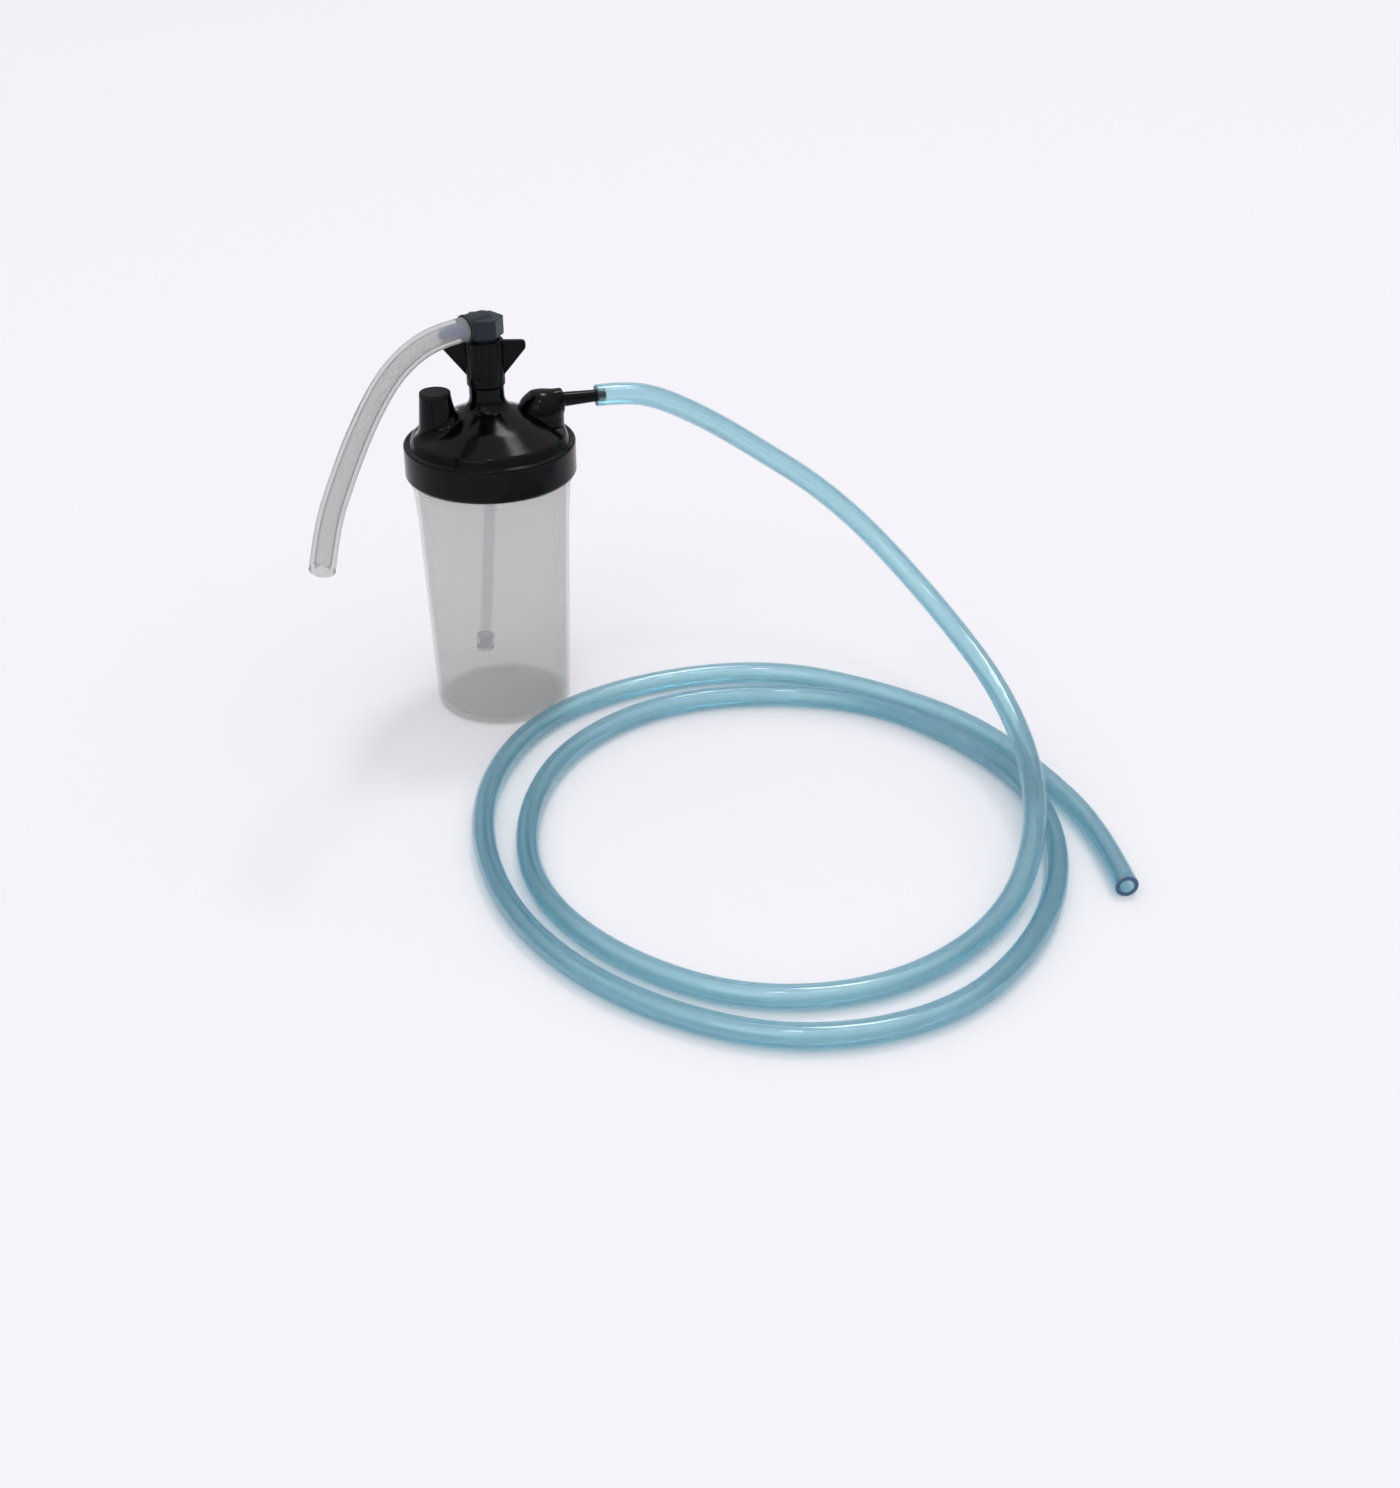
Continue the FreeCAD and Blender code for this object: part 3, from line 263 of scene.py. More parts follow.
def dome_height(radius):
    """Height of the dome's outer surface at a distance from the jar's axis."""
    inwards = dome_top[::-1]
    return np.interp(radius, inwards[:, 0], inwards[:, 1])


foot_steps, foot_sunk, foot_root = 14, 0.04, 1.5


def standing(offset, walls, flare, columns=96):
    """A round post on the dome. Its walls are (radius, height) from the foot up. The foot is a
    quarter circle of the flare's radius, from lying on the dome to upright; the outer wall
    climbs from there to the rim in even shares, and past the rim the heights hold as given."""
    angle = np.linspace(0, 2 * np.pi, columns, endpoint=False)
    swing = np.linspace(0, np.pi / 2, foot_steps)[:, None]
    radius, level = walls[:, :1], walls[:, 1:]
    spread = radius[0] + flare * (1 - np.sin(swing))
    x, y = offset + spread * np.cos(angle), spread * np.sin(angle)
    height = dome_height(np.hypot(x, y)) + flare * (1 - np.cos(swing)) - foot_sunk
    skirt = np.stack([x, y, np.minimum(height, level.max() - 0.05)], -1)
    climbed = np.maximum.accumulate(level)
    share = (climbed - level[0]) / (level.max() - level[0])
    lift = (1 - share) * skirt[-1, :, 2] + share * level.max() + level - climbed
    upper = np.stack([offset + radius * np.cos(angle), radius * np.sin(angle), lift], -1)
    under = skirt[:1].copy()
    under[..., 2] -= foot_root
    middle = under * 0 + np.array([offset, 0, under[..., 2].mean()])
    return np.concatenate([middle, under, skirt, upper])


relief_walls = outline([
    (relief_foot, 146.5, 0), (relief_rim_radius + 0.02, relief_rim, 0.3),
    (relief_bore, relief_rim, 0.2), (relief_bore, relief_floor, 0), (0, relief_floor, 0),
])
relief_walls = spaced(relief_walls, 1.0)
boss_walls = outline([(post_radius, 145.2, 0), (post_radius, post_seat, 0.15), (0, post_seat, 0)])
boss_walls = spaced(boss_walls, 0.6)

# Black polypropylene copolymer from a polished tool: a deep gloss with a slight ripple, dust
# fine enough to soften the reflection, and a few handling marks.
lid_black, surface = new_material("lid_polypropylene_polished")
place = add(lid_black, "TexCoord").outputs["Object"]
ripple = add(lid_black, "TexNoise", {"Vector": place, "Scale": 160.0, "Detail": 1.0})
dust = add(lid_black, "TexNoise", {"Vector": place, "Scale": 2600.0, "Detail": 2.0})
smear = add(lid_black, "TexNoise", {"Vector": place, "Scale": 55.0, "Detail": 4.0, "Distortion": 0.8})
gloss = add(lid_black, "MapRange", {"Value": smear.outputs["Fac"], "From Min": 0.35, "From Max": 0.75,
                                    "To Min": 0.09, "To Max": 0.2})
wave = add(lid_black, "Bump", {"Height": ripple.outputs["Fac"], "Strength": 0.12, "Distance": 0.0004})
grain = add(lid_black, "Bump", {"Height": dust.outputs["Fac"], "Strength": 0.05, "Distance": 0.0001,
                                "Normal": wave.outputs["Normal"]})
plastic = add(lid_black, "BsdfPrincipled", {
    "Base Color": linear("#040305"), "Roughness": gloss.outputs["Result"], "IOR": 1.49,
    "Specular IOR Level": 0.14, "Normal": grain.outputs["Normal"]})
lid_black.node_tree.links.new(plastic.outputs[0], surface.inputs["Surface"])

lid = shell("lid_moulding", [
    (turned(spaced(lid_points, 0.8), 192), True),
    (standing(relief_offset, relief_walls, relief_flare), False),
    (standing(post_offset, boss_walls, post_flare), False),
])
lid.data.materials.append(lid_black)
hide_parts("lid")
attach(lid, "lid")


# ---- Relief cap -----------------------------------------------------------------------------
# A flat black cap pressed into the relief housing. Its top comes from a spark-eroded tool, so
# it is matt and looks greyer than the gloss round it.
cap_matt, surface = new_material("cap_polypropylene_eroded")
place = add(cap_matt, "TexCoord").outputs["Object"]
spark = add(cap_matt, "TexNoise", {"Vector": place, "Scale": 2200.0, "Detail": 3.0})
sparkle = add(cap_matt, "Bump", {"Height": spark.outputs["Fac"], "Strength": 0.5, "Distance": 0.0003})
fleck = add(cap_matt, "MapRange", {"Value": spark.outputs["Fac"], "To Min": 0.5, "To Max": 0.7})
plastic = add(cap_matt, "BsdfPrincipled", {
    "Base Color": linear("#151514"), "Roughness": fleck.outputs["Result"], "IOR": 1.49,
    "Specular IOR Level": 0.2, "Normal": sparkle.outputs["Normal"]})
cap_matt.node_tree.links.new(plastic.outputs[0], surface.inputs["Surface"])

cap_plug, cap_top, cap_dish = 5.3, relief_rim + 1.8, relief_rim + 1.65
cap_points = outline([
    (0, relief_rim - 0.6, 0), (cap_plug, relief_rim - 0.6, 0), (cap_plug, relief_rim, 0),
    (relief_rim_radius, relief_rim, 0.05), (relief_rim_radius - 0.1, cap_top, 0.6),
    (6.0, cap_top, 0.2), (5.8, cap_dish, 0.2), (0, cap_dish, 0),
])
cap_grid = turned(spaced(cap_points, 0.6), 96) + np.array([relief_offset, 0, 0])
cap = shell("relief_cap_disc", [(cap_grid, False)])
cap.data.materials.append(cap_matt)
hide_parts("relief_cap")
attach(cap, "lid")


# ---- Outlet elbow and nozzle ------------------------------------------------------------------
# The outlet post is a ball-topped elbow plugged into the lid's boss. Its side collar holds a
# tapered nozzle, pressed in, for the hose to slip over.
ball_height, nozzle_height = 148.6, 154.0
collar_radius, collar_face = 5.6, 36.4
nozzle_root, nozzle_waist, nozzle_end = 29.0, 52.0, 57.5
nozzle_base, nozzle_tip, nozzle_bore = 3.3, 2.9, 1.7


def blended(a, b, width):
    """Distance to two solids joined with a fillet: the smaller of the two distances, less a
    parabola where they are nearly equal."""
    near = np.clip(width - np.abs(a - b), 0, None) / width
    return np.minimum(a, b) - near ** 2 * width / 4


def rod(points, start, heading, reach, radius, edge):
    """Distance to a round bar from start along heading, with its edges rounded off."""
    away = points - np.array(start)
    along = away @ np.array(heading)
    aside = np.linalg.norm(away - along[..., None] * np.array(heading), axis=-1)
    over = np.stack([aside - radius + edge, np.abs(along - reach / 2) - reach / 2 + edge], -1)
    return np.linalg.norm(np.maximum(over, 0), axis=-1) + np.minimum(over.max(-1), 0) - edge


def cast(centre, distance, furthest, rows=150, columns=240, halvings=34):
    """A grid: along each ray from the centre, at even angles, the point where the distance to
    the solid comes to nil, found by halving."""
    angle = np.linspace(0, 2 * np.pi, columns, endpoint=False)
    tilt = np.linspace(-np.pi / 2, np.pi / 2, rows)[:, None]
    ray = np.stack([np.cos(tilt) * np.cos(angle), np.cos(tilt) * np.sin(angle),
                    np.sin(tilt) + 0 * angle], -1)
    low, high = np.zeros(ray.shape[:2]), np.full(ray.shape[:2], furthest)
    for _ in range(halvings):
        middle = (low + high) / 2
        inside = distance(np.array(centre) + ray * middle[..., None]) < 0
        low, high = np.where(inside, middle, low), np.where(inside, high, middle)
    return np.array(centre) + ray * low[..., None]


def outlet_solid(points):
    """The ball on its round post, blended with the collar, and cut off flat at the seat."""
    ball = rod(points, (post_offset, 0, ball_height - 30), (0, 0, 1), 30 + post_radius,
               post_radius, post_radius)
    collar = rod(points, (post_offset - 4, 0, nozzle_height), (1, 0, 0),
                 collar_face - post_offset + 4, collar_radius, 1.0)
    return np.maximum(blended(ball, collar, 2.0), post_seat + 0.02 - points[..., 2])


outlet_elbow = shell("outlet_elbow_post", [
    (cast((post_offset + 2.5, 0, 151.0), outlet_solid, 30.0), False)], sharp=50)
outlet_elbow.data.materials.append(lid_black)
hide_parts("outlet_elbow")
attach(outlet_elbow, "lid")


def aimed(grid, origin, heading):
    """The grid with its Z axis turned to the heading and its origin moved to the point."""
    turn = np.array(Vector((0, 0, 1)).rotation_difference(Vector(heading)).to_matrix())
    return grid @ turn.T + np.array(origin)


nozzle_points = outline([
    (nozzle_bore, nozzle_root, 0), (nozzle_base, nozzle_root, 0), (nozzle_base + 0.6, collar_face, 0),
    (nozzle_base + 0.2, collar_face + 0.8, 0.4), (nozzle_tip, nozzle_waist, 4.0),
    (nozzle_tip, nozzle_end - 1, 0.5), (nozzle_tip - 0.5, nozzle_end, 0.2),
    (nozzle_bore, nozzle_end, 0.2), (nozzle_bore, nozzle_root, 0),
])
nozzle = shell("outlet_nozzle_tube", [
    (aimed(turned(spaced(nozzle_points, 0.6), 64), (0, 0, nozzle_height), (1, 0, 0)), True)])
nozzle.data.materials.append(lid_black)
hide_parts("outlet_nozzle")
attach(nozzle, "lid")


# ---- Wing nut -------------------------------------------------------------------------------
# A black moulded nut, fluted for grip, with two flat wings. Its lip hooks under the nipple's
# flange, and its thread draws the elbow's spigot down.
nut_low, nut_high, nut_radius, nut_bore = 165.9, 187.5, 9.0, 7.3
lip_bore, lip_top = 5.2, 167.1
flute_count, flute_depth, flute_radius, flute_low = 10, 0.55, 2.2, 170.0
wing_azimuth, wing_half, wing_edge = math.radians(-16.7), 1.7, 0.9

nut_points = outline([
    (lip_bore, nut_low, 0), (nut_radius, nut_low, 0.6), (nut_radius, nut_high, 0.6),
    (nut_bore, nut_high, 0.3), (nut_bore, lip_top, 0), (lip_bore, lip_top, 0), (lip_bore, nut_low, 0),
])
nut_grid = turned(spaced(nut_points, 0.5), 320)
nut_angle = np.arctan2(nut_grid[..., 1], nut_grid[..., 0]) - wing_azimuth
flute_pitch = 2 * np.pi / flute_count
aside = nut_radius * ((nut_angle + flute_pitch / 2) % flute_pitch - flute_pitch / 2)
scoop = nut_radius + flute_radius - flute_depth - np.sqrt(np.maximum(flute_radius ** 2 - aside ** 2, 0))
fade = np.clip((nut_grid[..., 2] - flute_low) / 1.5, 0, 1)
nut_out = np.hypot(nut_grid[..., 0], nut_grid[..., 1])
cut = np.clip(nut_radius - scoop, 0, None) * fade * (nut_out > nut_bore + 0.8)
nut_grid[..., :2] *= (1 - cut / nut_out)[..., None]


def plate(corners, half, edge, steps=10):
    """A flat plate with a rounded rim. Round the rim the section is an arc from one face to
    the other, set in from the outline; each face then closes on the outline's centre."""
    rim = spaced(outline(corners + corners[:1]), 0.5)[:-1]
    centre = rim.mean(0)
    along = np.roll(rim, -1, axis=0) - np.roll(rim, 1, axis=0)
    inward = np.stack([-along[:, 1], along[:, 0]], 1) / np.linalg.norm(along, axis=1)[:, None]
    inward *= np.sign(((centre - rim) * inward).sum(1).mean())
    swing = np.linspace(-np.pi / 2, np.pi / 2, steps)
    inset = edge * (1 - np.cos(swing))
    across = np.sign(swing) * (half - edge) + edge * np.sin(swing)
    rings = [rim + inward * depth for depth in inset]
    rows = [(centre + 0 * rings[0], across[0]), (centre + (rings[0] - centre) * 0.5, across[0])]
    rows += list(zip(rings, across))
    rows += [(centre + (rings[-1] - centre) * 0.5, across[-1]), (centre + 0 * rings[-1], across[-1])]
    return np.stack([np.stack([ring[:, 0], side + 0 * ring[:, 0], ring[:, 1]], 1) for ring, side in rows])


wing_root, wing_tip, wing_low, wing_high = 7.8, 19.3, 169.8, 187.0
wing_corners = [(wing_root, wing_low, 0), (nut_radius, wing_low + 0.9, 0.4), (wing_tip, 183.2, 1.6),
                (wing_tip, wing_high, 1.9), (wing_root, wing_high, 0)]
wing = plate(wing_corners, wing_half, wing_edge)
heading = np.array([[math.cos(wing_azimuth), math.sin(wing_azimuth), 0],
                    [-math.sin(wing_azimuth), math.cos(wing_azimuth), 0], [0, 0, 1]])
wings = [(wing @ np.diag([side, side, 1]) @ heading, False) for side in (1, -1)]

# The same black polymer as the lid from a plainer tool: half as glossy, with faint flow marks.
nut_black, surface = new_material("nut_polypropylene_satin")
place = add(nut_black, "TexCoord").outputs["Object"]
flow = add(nut_black, "TexNoise", {"Vector": place, "Scale": 240.0, "Detail": 3.0, "Distortion": 0.5})
satin = add(nut_black, "MapRange", {"Value": flow.outputs["Fac"], "To Min": 0.26, "To Max": 0.44})
fine = add(nut_black, "TexNoise", {"Vector": place, "Scale": 1800.0, "Detail": 2.0})
tooth = add(nut_black, "Bump", {"Height": fine.outputs["Fac"], "Strength": 0.15, "Distance": 0.00015})
plastic = add(nut_black, "BsdfPrincipled", {
    "Base Color": linear("#040405"), "Roughness": satin.outputs["Result"], "IOR": 1.49,
    "Specular IOR Level": 0.14, "Normal": tooth.outputs["Normal"]})
nut_black.node_tree.links.new(plastic.outputs[0], surface.inputs["Surface"])

wing_nut = shell("wing_nut_fluted", [(nut_grid, True)] + wings)
wing_nut.data.materials.append(nut_black)
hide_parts("wing_nut")
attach(wing_nut, "nut")


# ---- Elbow fitting --------------------------------------------------------------------------
# A blue-grey moulded elbow: a hex block to hold it by, a round side barrel for the barb, and a
# threaded spigot that the wing nut draws down on the washer.
elbow_azimuth = math.radians(205.3)
elbow_heading = (math.cos(elbow_azimuth), math.sin(elbow_azimuth), 0.0)
hex_low, hex_high, hex_apothem = 189.4, 198.2, 8.4
barb_height, barrel_radius, barrel_face = 194.5, 6.3, 9.3
elbow_soft = 0.45
spigot_low, spigot_radius, spigot_bore = 171.3, 6.2, 4.4
spigot_pitch, spigot_crest, spigot_thread_low, spigot_thread_high = 1.411, 0.65, 178.6, 187.2


def elbow_solid(points):
    """The hex block, softened along its edges, blended with the round-ended barrel."""
    along = points @ np.array(elbow_heading)
    across = points @ np.array([-elbow_heading[1], elbow_heading[0], 0])
    flats = np.stack([np.abs(along * math.cos(t) + across * math.sin(t))
                      for t in np.radians([0, 60, 120])], -1)
    side = (np.maximum(flats - hex_apothem + elbow_soft, 0) ** 4).sum(-1) ** 0.25
    side = np.where(side > 0, side, flats.max(-1) - hex_apothem + elbow_soft)
    tall = np.abs(points[..., 2] - (hex_low + hex_high) / 2) - (hex_high - hex_low) / 2 + elbow_soft
    over = np.stack([side, tall], -1)
    block = np.linalg.norm(np.maximum(over, 0), axis=-1) + np.minimum(over.max(-1), 0) - elbow_soft
    barrel = rod(points, (0, 0, barb_height), elbow_heading, barrel_face, barrel_radius, 0.5)
    crown = np.linalg.norm(points - np.array([0, 0, barb_height]), axis=-1) - barrel_radius
    return blended(block, np.minimum(barrel, crown), 1.0)


# Acetal copolymer, moulded: dense and a little waxy, so its gloss is broad and soft.
elbow_acetal, surface = new_material("elbow_acetal_moulded")
place = add(elbow_acetal, "TexCoord").outputs["Object"]
mottle = add(elbow_acetal, "TexNoise", {"Vector": place, "Scale": 150.0, "Detail": 3.0})
tone = add(elbow_acetal, "ValToRGB", {"Fac": mottle.outputs["Fac"]})
tone.color_ramp.elements[0].color = linear("#1F262D")
tone.color_ramp.elements[1].color = linear("#272F37")
wax = add(elbow_acetal, "MapRange", {"Value": mottle.outputs["Fac"], "To Min": 0.34, "To Max": 0.46})
pits = add(elbow_acetal, "TexNoise", {"Vector": place, "Scale": 1500.0, "Detail": 2.0})
skin = add(elbow_acetal, "Bump", {"Height": pits.outputs["Fac"], "Strength": 0.2, "Distance": 0.0002})
plastic = add(elbow_acetal, "BsdfPrincipled", {
    "Base Color": tone.outputs["Color"], "Roughness": wax.outputs["Result"], "IOR": 1.48,
    "Specular IOR Level": 0.25, "Normal": skin.outputs["Normal"]})
elbow_acetal.node_tree.links.new(plastic.outputs[0], surface.inputs["Surface"])

spigot_points = outline([
    (spigot_bore, spigot_low, 0), (spigot_radius, spigot_low, 0.3), (spigot_radius, hex_low + 1, 0),
    (spigot_bore, hex_low + 1, 0), (spigot_bore, spigot_low, 0),
])
spigot = helix_ridge(turned(spaced(spigot_points, 0.12), 96), spigot_pitch, spigot_crest,
                     spigot_thread_low, spigot_thread_high, 0.8, start=0.5)
elbow = shell("elbow_fitting_hex", [
    (cast((0, 0, 194.0), elbow_solid, 20.0, rows=200, columns=300), False), (spigot, True)])
elbow.data.materials.append(elbow_acetal)
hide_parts("elbow_fitting")
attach(elbow, "elbow")


# ---- Barb and its seal ring -----------------------------------------------------------------
# A blue two-ridged barb is pressed into the barrel through a dark rubber ring. The clouded
# hose is pushed over it up to the ring.
def plain_plastic(name, colour, low, high, scale):
    """A moulded plastic or rubber whose roughness and fine relief follow one noise."""
    material, output = new_material(name)
    place = add(material, "TexCoord").outputs["Object"]
    noise = add(material, "TexNoise", {"Vector": place, "Scale": scale, "Detail": 3.0})
    rough = add(material, "MapRange", {"Value": noise.outputs["Fac"], "To Min": low, "To Max": high})
    relief = add(material, "Bump", {"Height": noise.outputs["Fac"], "Strength": 0.2, "Distance": 0.0002})
    base = add(material, "BsdfPrincipled", {
        "Base Color": linear(colour), "Roughness": rough.outputs["Result"], "IOR": 1.5,
        "Normal": relief.outputs["Normal"]})
    material.node_tree.links.new(base.outputs[0], output.inputs["Surface"])
    return material


collar_rubber = plain_plastic("collar_rubber_moulded", "#15171A", 0.45, 0.6, 1200.0)
barb_nylon = plain_plastic("barb_nylon_moulded", "#2F62A8", 0.3, 0.42, 900.0)
ring_bore, ring_radius, ring_end = 2.52, 6.5, 10.9
collar_points = outline([
    (ring_bore, barrel_face, 0), (ring_radius, barrel_face, 0.5), (ring_radius, ring_end, 0.6),
    (ring_bore, ring_end, 0), (ring_bore, barrel_face, 0)])
collar = shell("barb_collar_ring", [
    (aimed(turned(collar_points, 72), (0, 0, barb_height), elbow_heading), True)])
collar.data.materials.append(collar_rubber)
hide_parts("barb_collar")
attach(collar, "elbow")

barb_bore, barb_neck, barb_ridge, barb_tip = 1.6, 2.5, 3.1, 2.2
barb_start, first_ridge, second_ridge, barb_end = 4, 14, 19, 24
barb_points = outline([
    (barb_bore, barb_start, 0), (barb_neck, barb_start, 0), (barb_neck, first_ridge, 0),
    (barb_ridge, first_ridge + 0.1, 0.1), (barb_neck, second_ridge, 0.3),
    (barb_ridge, second_ridge + 0.1, 0.1), (barb_tip, barb_end, 0.2), (barb_bore, barb_end, 0),
    (barb_bore, barb_start, 0)])
barb = shell("hose_barb_ridged", [
    (aimed(turned(spaced(barb_points, 0.8), 48), (0, 0, barb_height), elbow_heading), True)])
barb.data.materials.append(barb_nylon)
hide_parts("hose_barb")
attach(barb, "elbow")


# ---- Supply hose ----------------------------------------------------------------------------
# A short length of peroxide-cured silicone hose, 11.2 mm across, cut square at its free end. It
# is pushed over the barb and bows out and down under its own weight.
supply_radius, supply_bore = 0.0056, 0.0032
supply_route = [
    (-0.0099, -0.0047, 0.1945), (-0.0224, -0.0106, 0.1945), (-0.0356, -0.0177, 0.1913),
    (-0.0484, -0.0279, 0.1851), (-0.060, -0.0413, 0.176), (-0.0708, -0.0556, 0.165),
    (-0.081, -0.071, 0.153), (-0.090, -0.087, 0.142), (-0.096, -0.105, 0.1305),
]


def centre_line(route, resolution):
    """Points read from a smooth NURBS curve with the route's points as its control points."""
    curve = bpy.data.curves.new("route", "CURVE")
    curve.dimensions = "3D"
    curve.resolution_u = resolution
    spline = curve.splines.new("NURBS")
    spline.points.add(len(route) - 1)
    spline.points.foreach_set("co", np.column_stack([route, np.ones(len(route))]).ravel())
    spline.order_u = 3
    spline.use_endpoint_u = True
    holder = bpy.data.objects.new("route", curve)
    mesh = bpy.data.meshes.new_from_object(holder)
    line = np.zeros(len(mesh.vertices) * 3)
    mesh.vertices.foreach_get("co", line)
    bpy.data.objects.remove(holder)
    bpy.data.meshes.remove(mesh)
    bpy.data.curves.remove(curve)
    return line.reshape(-1, 3)


def hose(line, outer, bore, columns, edge=0.0003):
    """A grid round a line that never stands upright: at each point a ring is set across the
    line, out along the outer skin and back along the bore, with the cut edges broken."""
    near = line[:1] + (line[1] - line[0]) * edge / np.linalg.norm(line[1] - line[0])
    far = line[-1:] + (line[-2] - line[-1]) * edge / np.linalg.norm(line[-2] - line[-1])
    line = np.concatenate([line[:1], near, line[1:-1], far, line[-1:]])
    along = np.gradient(line, axis=0)
    along /= np.linalg.norm(along, axis=1)[:, None]
    side = np.cross(along, (0, 0, 1))
    side /= np.linalg.norm(side, axis=1)[:, None]
    up = np.cross(side, along)
    angle = np.linspace(0, 2 * np.pi, columns, endpoint=False)[:, None]
    ring = side[:, None] * np.cos(angle) + up[:, None] * np.sin(angle)
    outer_sizes = np.full(len(line), outer)
    outer_sizes[[0, -1]] = outer - edge
    bore_sizes = np.full(len(line), bore)
    bore_sizes[[0, -1]] = bore + edge / 2
    skin = line[:, None] + ring * outer_sizes[:, None, None]
    inner = line[:, None] + ring * bore_sizes[:, None, None]
    return np.concatenate([skin, inner[::-1]])


# Silicone, extruded: milky and soft. Light goes in, scatters and comes out all round, and the
# barb inside shows as a blur.
hose_silicone, surface = new_material("hose_silicone_extruded")
place = add(hose_silicone, "TexCoord").outputs["Object"]
cloud = add(hose_silicone, "TexNoise", {"Vector": place, "Scale": 60.0, "Detail": 2.0})
milk = add(hose_silicone, "ValToRGB", {"Fac": cloud.outputs["Fac"]})
milk.color_ramp.elements[0].color = linear("#DEDFDE")
milk.color_ramp.elements[1].color = linear("#E6E6E4")
drag = add(hose_silicone, "TexNoise", {"Vector": place, "Scale": 900.0, "Detail": 2.0})
drag_bump = add(hose_silicone, "Bump", {
    "Height": drag.outputs["Fac"], "Strength": 0.12, "Distance": 0.0002})
front = add(hose_silicone, "BsdfDiffuse", {"Color": milk.outputs["Color"]})
behind = add(hose_silicone, "BsdfTranslucent", {"Color": milk.outputs["Color"]})
milky = add(hose_silicone, "MixShader", {0: 0.45, 1: front.outputs[0], 2: behind.outputs[0]})
clear = add(hose_silicone, "BsdfRefraction", {"Color": linear("#F6F6F5"), "Roughness": 0.3, "IOR": 1.1})
wall = add(hose_silicone, "MixShader", {0: 0.34, 1: clear.outputs[0], 2: milky.outputs[0]})
shine = add(hose_silicone, "BsdfGlossy", {"Roughness": 0.34, "Normal": drag_bump.outputs["Normal"]})
edge = outside_shine(hose_silicone, 1.3)
rubber = add(hose_silicone, "MixShader", {0: edge, 1: wall.outputs[0], 2: shine.outputs[0]})
hose_silicone.node_tree.links.new(rubber.outputs[0], surface.inputs["Surface"])

supply_line = centre_line(supply_route, 10)
supply_hose = shell("supply_hose_clouded", [
    (hose(supply_line, supply_radius, supply_bore, 48), True)], scale=1.0)
supply_hose.data.materials.append(hose_silicone)
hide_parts("supply_hose", "supply_hose_end")
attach(supply_hose, "elbow")


# ---- Outlet hose ----------------------------------------------------------------------------
# Two metres of clear plasticised PVC hose with a blue tint, 10.5 mm across. It slips over the
# nozzle, arches down to the table and lies there in two loose loops, and its end is cut bare.
outlet_radius, outlet_bore, resting = 0.00525, 0.0030, 0.00525
outlet_route = [
    (0.053, 0, 0.154), (0.0685, 0, 0.154), (0.084, -0.0022, 0.1504), (0.104, -0.0075, 0.1404),
    (0.122, -0.012, 0.129),
    (0.166, -0.035, 0.100), (0.198, -0.080, 0.062), (0.211, -0.145, 0.036), (0.196, -0.211, 0.020),
    (0.157, -0.264, resting), (0.094, -0.295, resting), (0.032, -0.285, resting), (-0.011, -0.241, resting),
    (-0.031, -0.184, resting), (-0.020, -0.124, resting), (0.012, -0.073, resting), (0.064, -0.045, resting),
    (0.121, -0.049, resting), (0.172, -0.076, resting), (0.199, -0.123, resting), (0.211, -0.178, resting),
    (0.195, -0.235, resting), (0.159, -0.284, resting), (0.105, -0.318, resting), (0.040, -0.314, resting),
    (-0.011, -0.273, resting), (-0.041, -0.215, resting), (-0.046, -0.150, resting), (-0.029, -0.087, resting),
    (0.012, -0.037, resting), (0.074, -0.019, resting), (0.137, -0.028, resting), (0.180, -0.067, resting),
    (0.211, -0.114, resting), (0.220, -0.165, resting), (0.223, -0.215, resting), (0.212, -0.261, resting),
]

# Plasticised PVC, extruded: clear as glass, soft to the touch. The blue is in the plastic, so
# it deepens where the eye looks along the wall, at the edges and at the cut ends.
hose_pvc, surface = new_material("hose_pvc_extruded")
place = add(hose_pvc, "TexCoord").outputs["Object"]
waver = add(hose_pvc, "TexNoise", {"Vector": place, "Scale": 45.0, "Detail": 0.0})
waver_bump = add(hose_pvc, "Bump", {"Height": waver.outputs["Fac"], "Strength": 0.04, "Distance": 0.0004})
glassy = add(hose_pvc, "BsdfPrincipled", {
    "Base Color": linear("#F4FAFA"), "Roughness": 0.06, "IOR": 1.52,
    "Transmission Weight": 1.0, "Normal": waver_bump.outputs["Normal"]})
straight = add(hose_pvc, "BsdfTransparent", {"Color": linear("#EAF6F7")})
clear = add(hose_pvc, "MixShader", {0: 0.45, 1: glassy.outputs[0], 2: straight.outputs[0]})
shine = add(hose_pvc, "BsdfGlossy", {"Roughness": 0.09, "Normal": waver_bump.outputs["Normal"]})
edge = outside_shine(hose_pvc, 1.6)
skin = add(hose_pvc, "MixShader", {0: edge, 1: clear.outputs[0], 2: shine.outputs[0]})
tint = add(hose_pvc, "VolumeAbsorption", {"Color": linear("#68DAEE"), "Density": 112.0})
hose_pvc.node_tree.links.new(skin.outputs[0], surface.inputs["Surface"])
hose_pvc.node_tree.links.new(tint.outputs[0], surface.inputs["Volume"])

# The square cut ends are painted an opaque deep blue. This is painted light: it stands in for the light that
# runs along inside the clear wall and comes out at the cut.
cut_end_painted_blue = plain_plastic("hose_pvc_cut_painted_light", "#3A5A78", 0.3, 0.45, 700.0)

outlet_line = centre_line(outlet_route, 14)
outlet_hose = shell("outlet_hose_clear", [
    (hose(outlet_line, outlet_radius, outlet_bore, 40), True)], scale=1.0)
outlet_hose.data.materials.append(hose_pvc)
